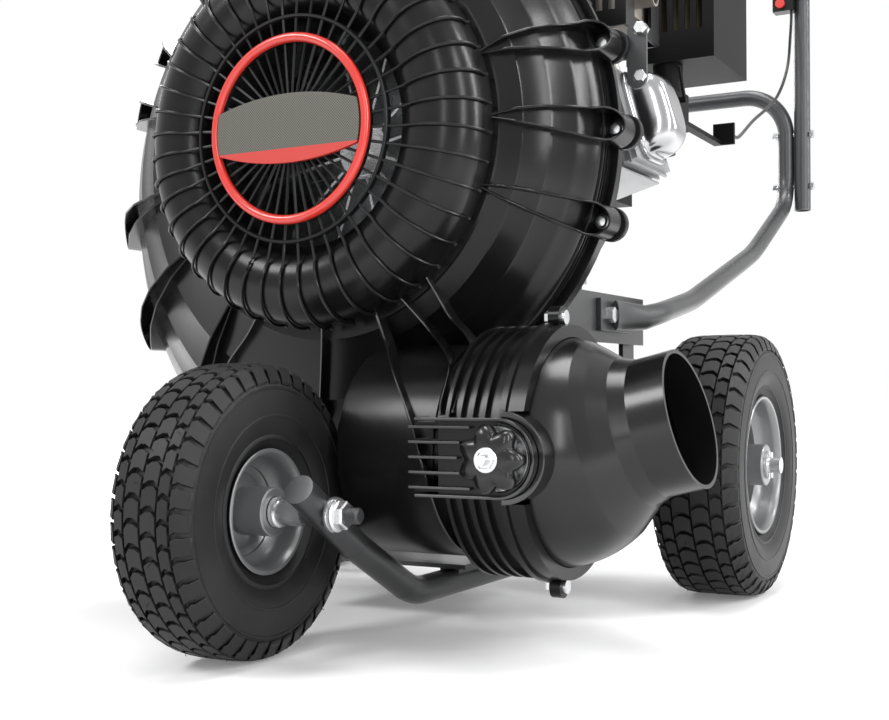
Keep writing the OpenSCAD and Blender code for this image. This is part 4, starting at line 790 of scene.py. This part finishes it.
def discharge_webs():
    """The webs that run from the bell's foot over the discharge tube to its collar."""
    b = Builder()
    # one long web, bowed from the bell's foot to the underside of the collar
    knots = [(0.070, 0.150, 0.352), (0.083, 0.152, 0.316), (0.108, 0.126, 0.283),
             (0.134, 0.103, 0.252), (0.152, 0.091, 0.222), (0.163, 0.087, 0.193),
             (0.170, 0.092, 0.163), (0.174, 0.106, 0.133), (0.178, 0.130, 0.107),
             (0.183, 0.160, 0.093)]
    blade(b, smooth_path([spot(*k) for k in knots]), 0.012, 0.0030)
    # two webs side by side that bend down to the knob's bracket
    knots = [(0.129, 0.154, 0.384), (0.140, 0.167, 0.357), (0.153, 0.168, 0.337),
             (0.173, 0.158, 0.322), (0.188, 0.146, 0.306), (0.194, 0.126, 0.284),
             (0.195, 0.106, 0.262), (0.196, 0.090, 0.240)]
    blade(b, smooth_path([spot(*k) for k in knots]), 0.012)
    knots = [(0.098, 0.154, 0.362), (0.116, 0.166, 0.338), (0.130, 0.168, 0.322),
             (0.155, 0.150, 0.303), (0.168, 0.136, 0.288), (0.174, 0.118, 0.270),
             (0.178, 0.100, 0.250), (0.182, 0.092, 0.238)]
    blade(b, smooth_path([spot(*k) for k in knots]), 0.012)
    # plain webs below the bell
    knots = [(0.004, 0.150, 0.340), (-0.001, 0.157, 0.312), (-0.006, 0.163, 0.285),
             (-0.013, 0.171, 0.250), (-0.016, 0.176, 0.225)]
    blade(b, smooth_path([spot(*k) for k in knots]), 0.010)
    knots = [(-0.078, 0.150, 0.352), (-0.104, 0.160, 0.325), (-0.136, 0.170, 0.298),
             (-0.150, 0.176, 0.280)]
    blade(b, smooth_path([spot(*k) for k in knots]), 0.010)
    b.make("discharge_webs", "moulded_black", sharp=0.7, bevel=0.0006, material="rib_black")


def rim(name, node, body, centre, r, w, hub, shaft):
    """A pressed rim in millimetres about the X axis: flanges, drum, deep dish and hub."""
    b, half = Builder(), w / 2 - 8
    def turn(profile, n=112):
        b.revolve(centre, ALONG_X, ALONG_Z, [(q * MM, x * MM) for q, x in profile], n=n)
    outer = []
    for s in (1, -1):
        side = [(r - 1.2, s * (half - 1.2)), (r - 0.4, s * (half + 0.3)),
                (r - 1.5, s * (half + 1.4)),
                (r - 4.2, s * (half + 0.8)), (r - 6.4, s * (half - 2)), (r - 8.2, s * (half - 8)),
                (r - 8.6, s * (half - 18)), (r - 12, s * (half - 24)), (r - 17.5, s * (half - 29))]
        outer = outer + (side if s > 0 else side[::-1])
    back = []
    for s in (-1, 1):
        side = [(r - 3.0, s * (half - 2.5)), (r - 6.0, s * (half - 7)), (r - 6.2, s * (half - 19)),
                (r - 15.6, s * (half - 30))]
        back = back + (side if s < 0 else side[::-1])
    turn(outer + back)
    turn([(hub - 0.5, 6), (hub + 5, 4.5), ((hub + r) / 2 - 6, 2.2), (r - 24, 1.2), (r - 18, 4),
          (r - 16.2, 6), (r - 16.2, -6), (r - 18, -3), (r - 24, -1.6), ((hub + r) / 2 - 6, -1.6),
          (hub + 5, -4.5), (hub - 0.5, -6)])
    long = w / 2 if shaft < 9 else w / 2 - 4
    turn([(shaft + 0.06, -long), (hub - 1.2, -long), (hub, -long + 1.2), (hub, long - 1.2),
          (hub - 1.2, long), (shaft + 7.5, long), (shaft + 7.5, long - 2.2),
          (shaft + 0.06, long - 2.2)],
         n=72)
    b.make(name, "rim_grey", body, stands_for=(node,), sharp=0.5)
    d = Builder()
    for s in (-1, 1):
        seal = [(0.1, 2.0), (3.2, 2.0), (3.4, 0.5), (7.2, 0.6), (7.3, 4), (0.1, 4)]
        d.revolve(centre, ALONG_X, ALONG_Z,
                  [((shaft + q) * MM, s * (long - x) * MM) for q, x in seal], n=64)
    d.make(name + "_seals", "rim_grey", body, sharp=0.5, material="bearing_rubber")


def front_axle():
    """Axle bolt with spacer, washer, flange nut and its threaded end."""
    b = Builder()
    c = spot(0, 0, FRONT_R)
    def turn(profile, n=48):
        b.revolve(c, ALONG_X, ALONG_Z, [(q * MM, x * MM) for q, x in profile], n=n)
    turn([(0.1, -52), (8, -52), (8, 124), (0.1, 124)])
    turn([(8.1, 44.3), (14.5, 44.3), (15, 45), (15, 50), (12.5, 51), (12.5, 79.4), (8.1, 79.4)])
    turn([(0.1, -60), (12, -60), (13.8, -58.5), (13.8, -46), (12, -44.3), (0.1, -44.3)], n=6)
    turn([(8.1, 110.2), (17, 110.2), (17.3, 111), (17, 113.6), (8.1, 113.8)])
    turn([(8.1, 114), (16, 114), (16.2, 116.5), (13.5, 118), (8.1, 118)])
    turn([(8.1, 117.5), (13.8, 117.5), (13.8, 125.5), (12.2, 127), (8.1, 127)], n=6)
    b.make("axle_bolt", "zinc_steel", stands_for=("front_axle",), sharp=0.5)
    d = Builder()
    thread = [(0.1, 124)]
    for i in range(9):
        x = 127.2 + i * 1.45
        thread += [(7.9, x), (7.1, x + 0.7)]
    thread += [(7.0, 140), (6.0, 141), (0.1, 141)]
    d.revolve(c, ALONG_X, ALONG_Z, [(q * MM, x * MM) for q, x in thread], n=32)
    d.make("axle_thread", "zinc_steel", sharp=0.4, material="frame_grey")


def knob():
    """Seven-lobed clamp knob with a domed front, its nut and a broad steel face."""
    b = Builder()
    centre = spot(BALL_X, 0, DUCT_H)
    def edge(a, k):
        lobe = 0.5 + 0.5 * math.cos(7 * a)
        return (25.6 + 7.6 * lobe ** 0.75) * k
    rows = []
    n = 168
    stations = [(0.30, 33.2), (0.55, 33.0), (0.72, 33.6), (0.86, 35.4), (0.95, 38.0), (0.995, 42.0),
                (1.0, 46.0), (0.99, 50.5), (0.94, 53.5), (0.82, 54.2), (0.80, 58.6), (0.25, 58.6)]
    for i in range(n):
        a = 2 * math.pi * i / n
        ring = []
        for k, y in stations:
            q = edge(a, k) if k > 0.5 else 32.0 * k
            if k >= 0.5 and y in (54.2, 58.6):
                q = 25.0
            ring.append(centre + Vector((q * math.cos(a), y, q * math.sin(a))) * MM)
        rows.append(ring)
    b.grid(rows, close_u=True, close_v=True)
    b.make("knob_body", "moulded_black", "knob", stands_for=("clamp_knob",), sharp=0.8,
           material="nozzle_black")
    d = Builder()
    def turn(profile, n):
        d.revolve(centre, ALONG_Y, ALONG_X, [(q * MM, y * MM) for q, y in profile], n=n)
    turn([(5.2, 31.8), (11.4, 31.8), (11.8, 32.3), (11.8, 33.4), (5.2, 33.4)], 48)
    turn([(5.2, 28.6), (7.4, 28.6), (9.0, 29.6), (9.0, 31.8), (5.2, 31.8)], 6)
    d.make("knob_nut", "zinc_steel", "knob", sharp=0.5)
    w = Builder()
    w.revolve(centre, ALONG_Y, ALONG_X, [
        (0.0052, 0.0592), (0.0300, 0.0592), (0.0306, 0.0597), (0.0306, 0.0616), (0.0300, 0.0620),
        (0.0052, 0.0620)], n=96)
    w.make("washer_disc", "zinc_steel", stands_for=("knob_washer",), sharp=0.5)


housing()
hairpins()
flange_bosses()
bolt_heads()
intake_guard()
FRONT_HUB = spot(0, 0, FRONT_R)
rim("front_rim_face", "front_rim", "front_wheel", FRONT_HUB, 62, 88, 24, 8)
for side, sign in (("left", 1), ("right", -1)):
    rim(side + "_rim_face", side + "_rim", side + "_wheel",
        spot(sign * HALF_TRACK, WHEELBASE, REAR_R), 87, 108, 26, 10)
front_axle()
knob()
collar_rim()
discharge_webs()
cable()
rocker_dome()
lower_handle()
tyre("front_tread", "front_tyre", "front_wheel", FRONT_HUB, 145, 92, 62, 40)
for side, sign in (("left", 1), ("right", -1)):
    tyre(side + "_tread", side + "_tyre", side + "_wheel",
         spot(sign * HALF_TRACK, WHEELBASE, REAR_R), 165, 112, 87, 43)

# ---- Camera, light and floor ----

def make_camera():
    data = bpy.data.cameras.new("camera")
    cam = bpy.data.objects.new("camera", data)
    scene.collection.objects.link(cam)
    data.sensor_width = 36
    data.lens = 51.79
    data.shift_y = 0.0309
    data.clip_start, data.clip_end = 0.05, 60
    azimuth, roll = math.radians(28.49), math.radians(0.31)
    cam.matrix_world = (Matrix.Translation(spot(0.7794, -1.0108, 0.2647))
                        @ Matrix.Rotation(azimuth, 4, "Z")
                        @ Matrix.Rotation(math.radians(90), 4, "X")
                        @ Matrix.Rotation(-roll, 4, "Z"))
    scene.camera = cam
    return cam


def make_light(name, at, to, size, power, size_y=None):
    data = bpy.data.lights.new(name, "AREA")
    data.shape = "RECTANGLE"
    data.size, data.size_y = size, size_y or size
    data.energy = power
    lamp = bpy.data.objects.new(name, data)
    scene.collection.objects.link(lamp)
    lamp.location = at
    lamp.rotation_euler = (Vector(to) - Vector(at)).to_track_quat("-Z", "Y").to_euler()
    return lamp


def seen_or_mirrored(nt, path):
    """One for rays of the camera and for those that reach it by a mirror or through glass."""
    out = path.outputs["Is Camera Ray"]
    for name in ("Is Glossy Ray", "Is Transmission Ray"):
        top = nt.nodes.new("ShaderNodeMath")
        top.operation = "MAXIMUM"
        link(nt, out, top.inputs[0])
        link(nt, path.outputs[name], top.inputs[1])
        out = top.outputs[0]
    return out


def make_world():
    world = bpy.data.worlds.new("world")
    scene.world = world
    world.use_nodes = True
    nt = world.node_tree
    bg = nt.nodes["Background"]
    path = nt.nodes.new("ShaderNodeLightPath")
    seen = nt.nodes.new("ShaderNodeMapRange")
    either = seen_or_mirrored(nt, path)
    seen.inputs["To Min"].default_value = 0.30
    seen.inputs["To Max"].default_value = 1.0
    link(nt, either, seen.inputs["Value"])
    link(nt, seen.outputs[0], bg.inputs["Strength"])
    bg.inputs["Color"].default_value = (1, 1, 1, 1)


def make_floor():
    mat, nt, bsdf = new_material("floor_pale")
    nodes = nt.nodes
    bsdf.inputs["Base Color"].default_value = (0.86, 0.86, 0.86, 1)
    bsdf.inputs["Roughness"].default_value = 0.8
    bsdf.inputs["Specular IOR Level"].default_value = 0.1
    path = nodes.new("ShaderNodeLightPath")
    glow = nodes.new("ShaderNodeEmission")
    level = nodes.new("ShaderNodeMath")
    level.operation = "MULTIPLY"
    coord = nodes.new("ShaderNodeTexCoord")
    far = nodes.new("ShaderNodeVectorMath")
    far.operation = "LENGTH"
    link(nt, coord.outputs["Object"], far.inputs[0])
    rise = nodes.new("ShaderNodeMapRange")
    rise.interpolation_type = "SMOOTHSTEP"
    rise.inputs["From Min"].default_value = 0.5
    rise.inputs["From Max"].default_value = 2.2
    rise.inputs["To Min"].default_value = 0.14
    rise.inputs["To Max"].default_value = 1.0
    link(nt, far.outputs["Value"], rise.inputs["Value"])
    link(nt, rise.outputs[0], level.inputs[1])
    link(nt, seen_or_mirrored(nt, path), level.inputs[0])
    link(nt, level.outputs[0], glow.inputs["Strength"])
    add = nodes.new("ShaderNodeAddShader")
    link(nt, bsdf.outputs[0], add.inputs[0])
    link(nt, glow.outputs[0], add.inputs[1])
    link(nt, add.outputs[0], nodes["Material Output"].inputs["Surface"])
    mesh = bpy.data.meshes.new("floor")
    s = 30
    mesh.from_pydata([(-s, -s, 0), (s, -s, 0), (s, s, 0), (-s, s, 0)], [], [[0, 1, 2, 3]])
    mesh.materials.append(mat)
    obj = bpy.data.objects.new("floor", mesh)
    scene.collection.objects.link(obj)
    obj.location.z = -0.0005


make_camera()
make_world()
make_floor()
make_light("key", (-1.9, -3.0, 2.9), (0, -0.4, 0.4), 1.5, 85, 1.1)
make_light("side", (3.2, -1.0, 1.7), (0, -0.2, 0.45), 0.4, 60, 2.6)
make_light("band", (2.6, 1.25, 2.0), (0.2, -0.3, 0.55), 0.3, 60, 2.6)
make_light("top", (0.2, 0.1, 3.4), (0, 0, 0.4), 2.2, 85, 1.2)
make_light("back", (-2.6, 2.6, 2.0), (0, 0.2, 0.5), 1.2, 60, 1.8)
make_light("strip", (1.5, -3.2, 1.5), (0.1, -0.4, 0.45), 0.25, 22, 2.0)

scene.view_settings.view_transform = "Standard"
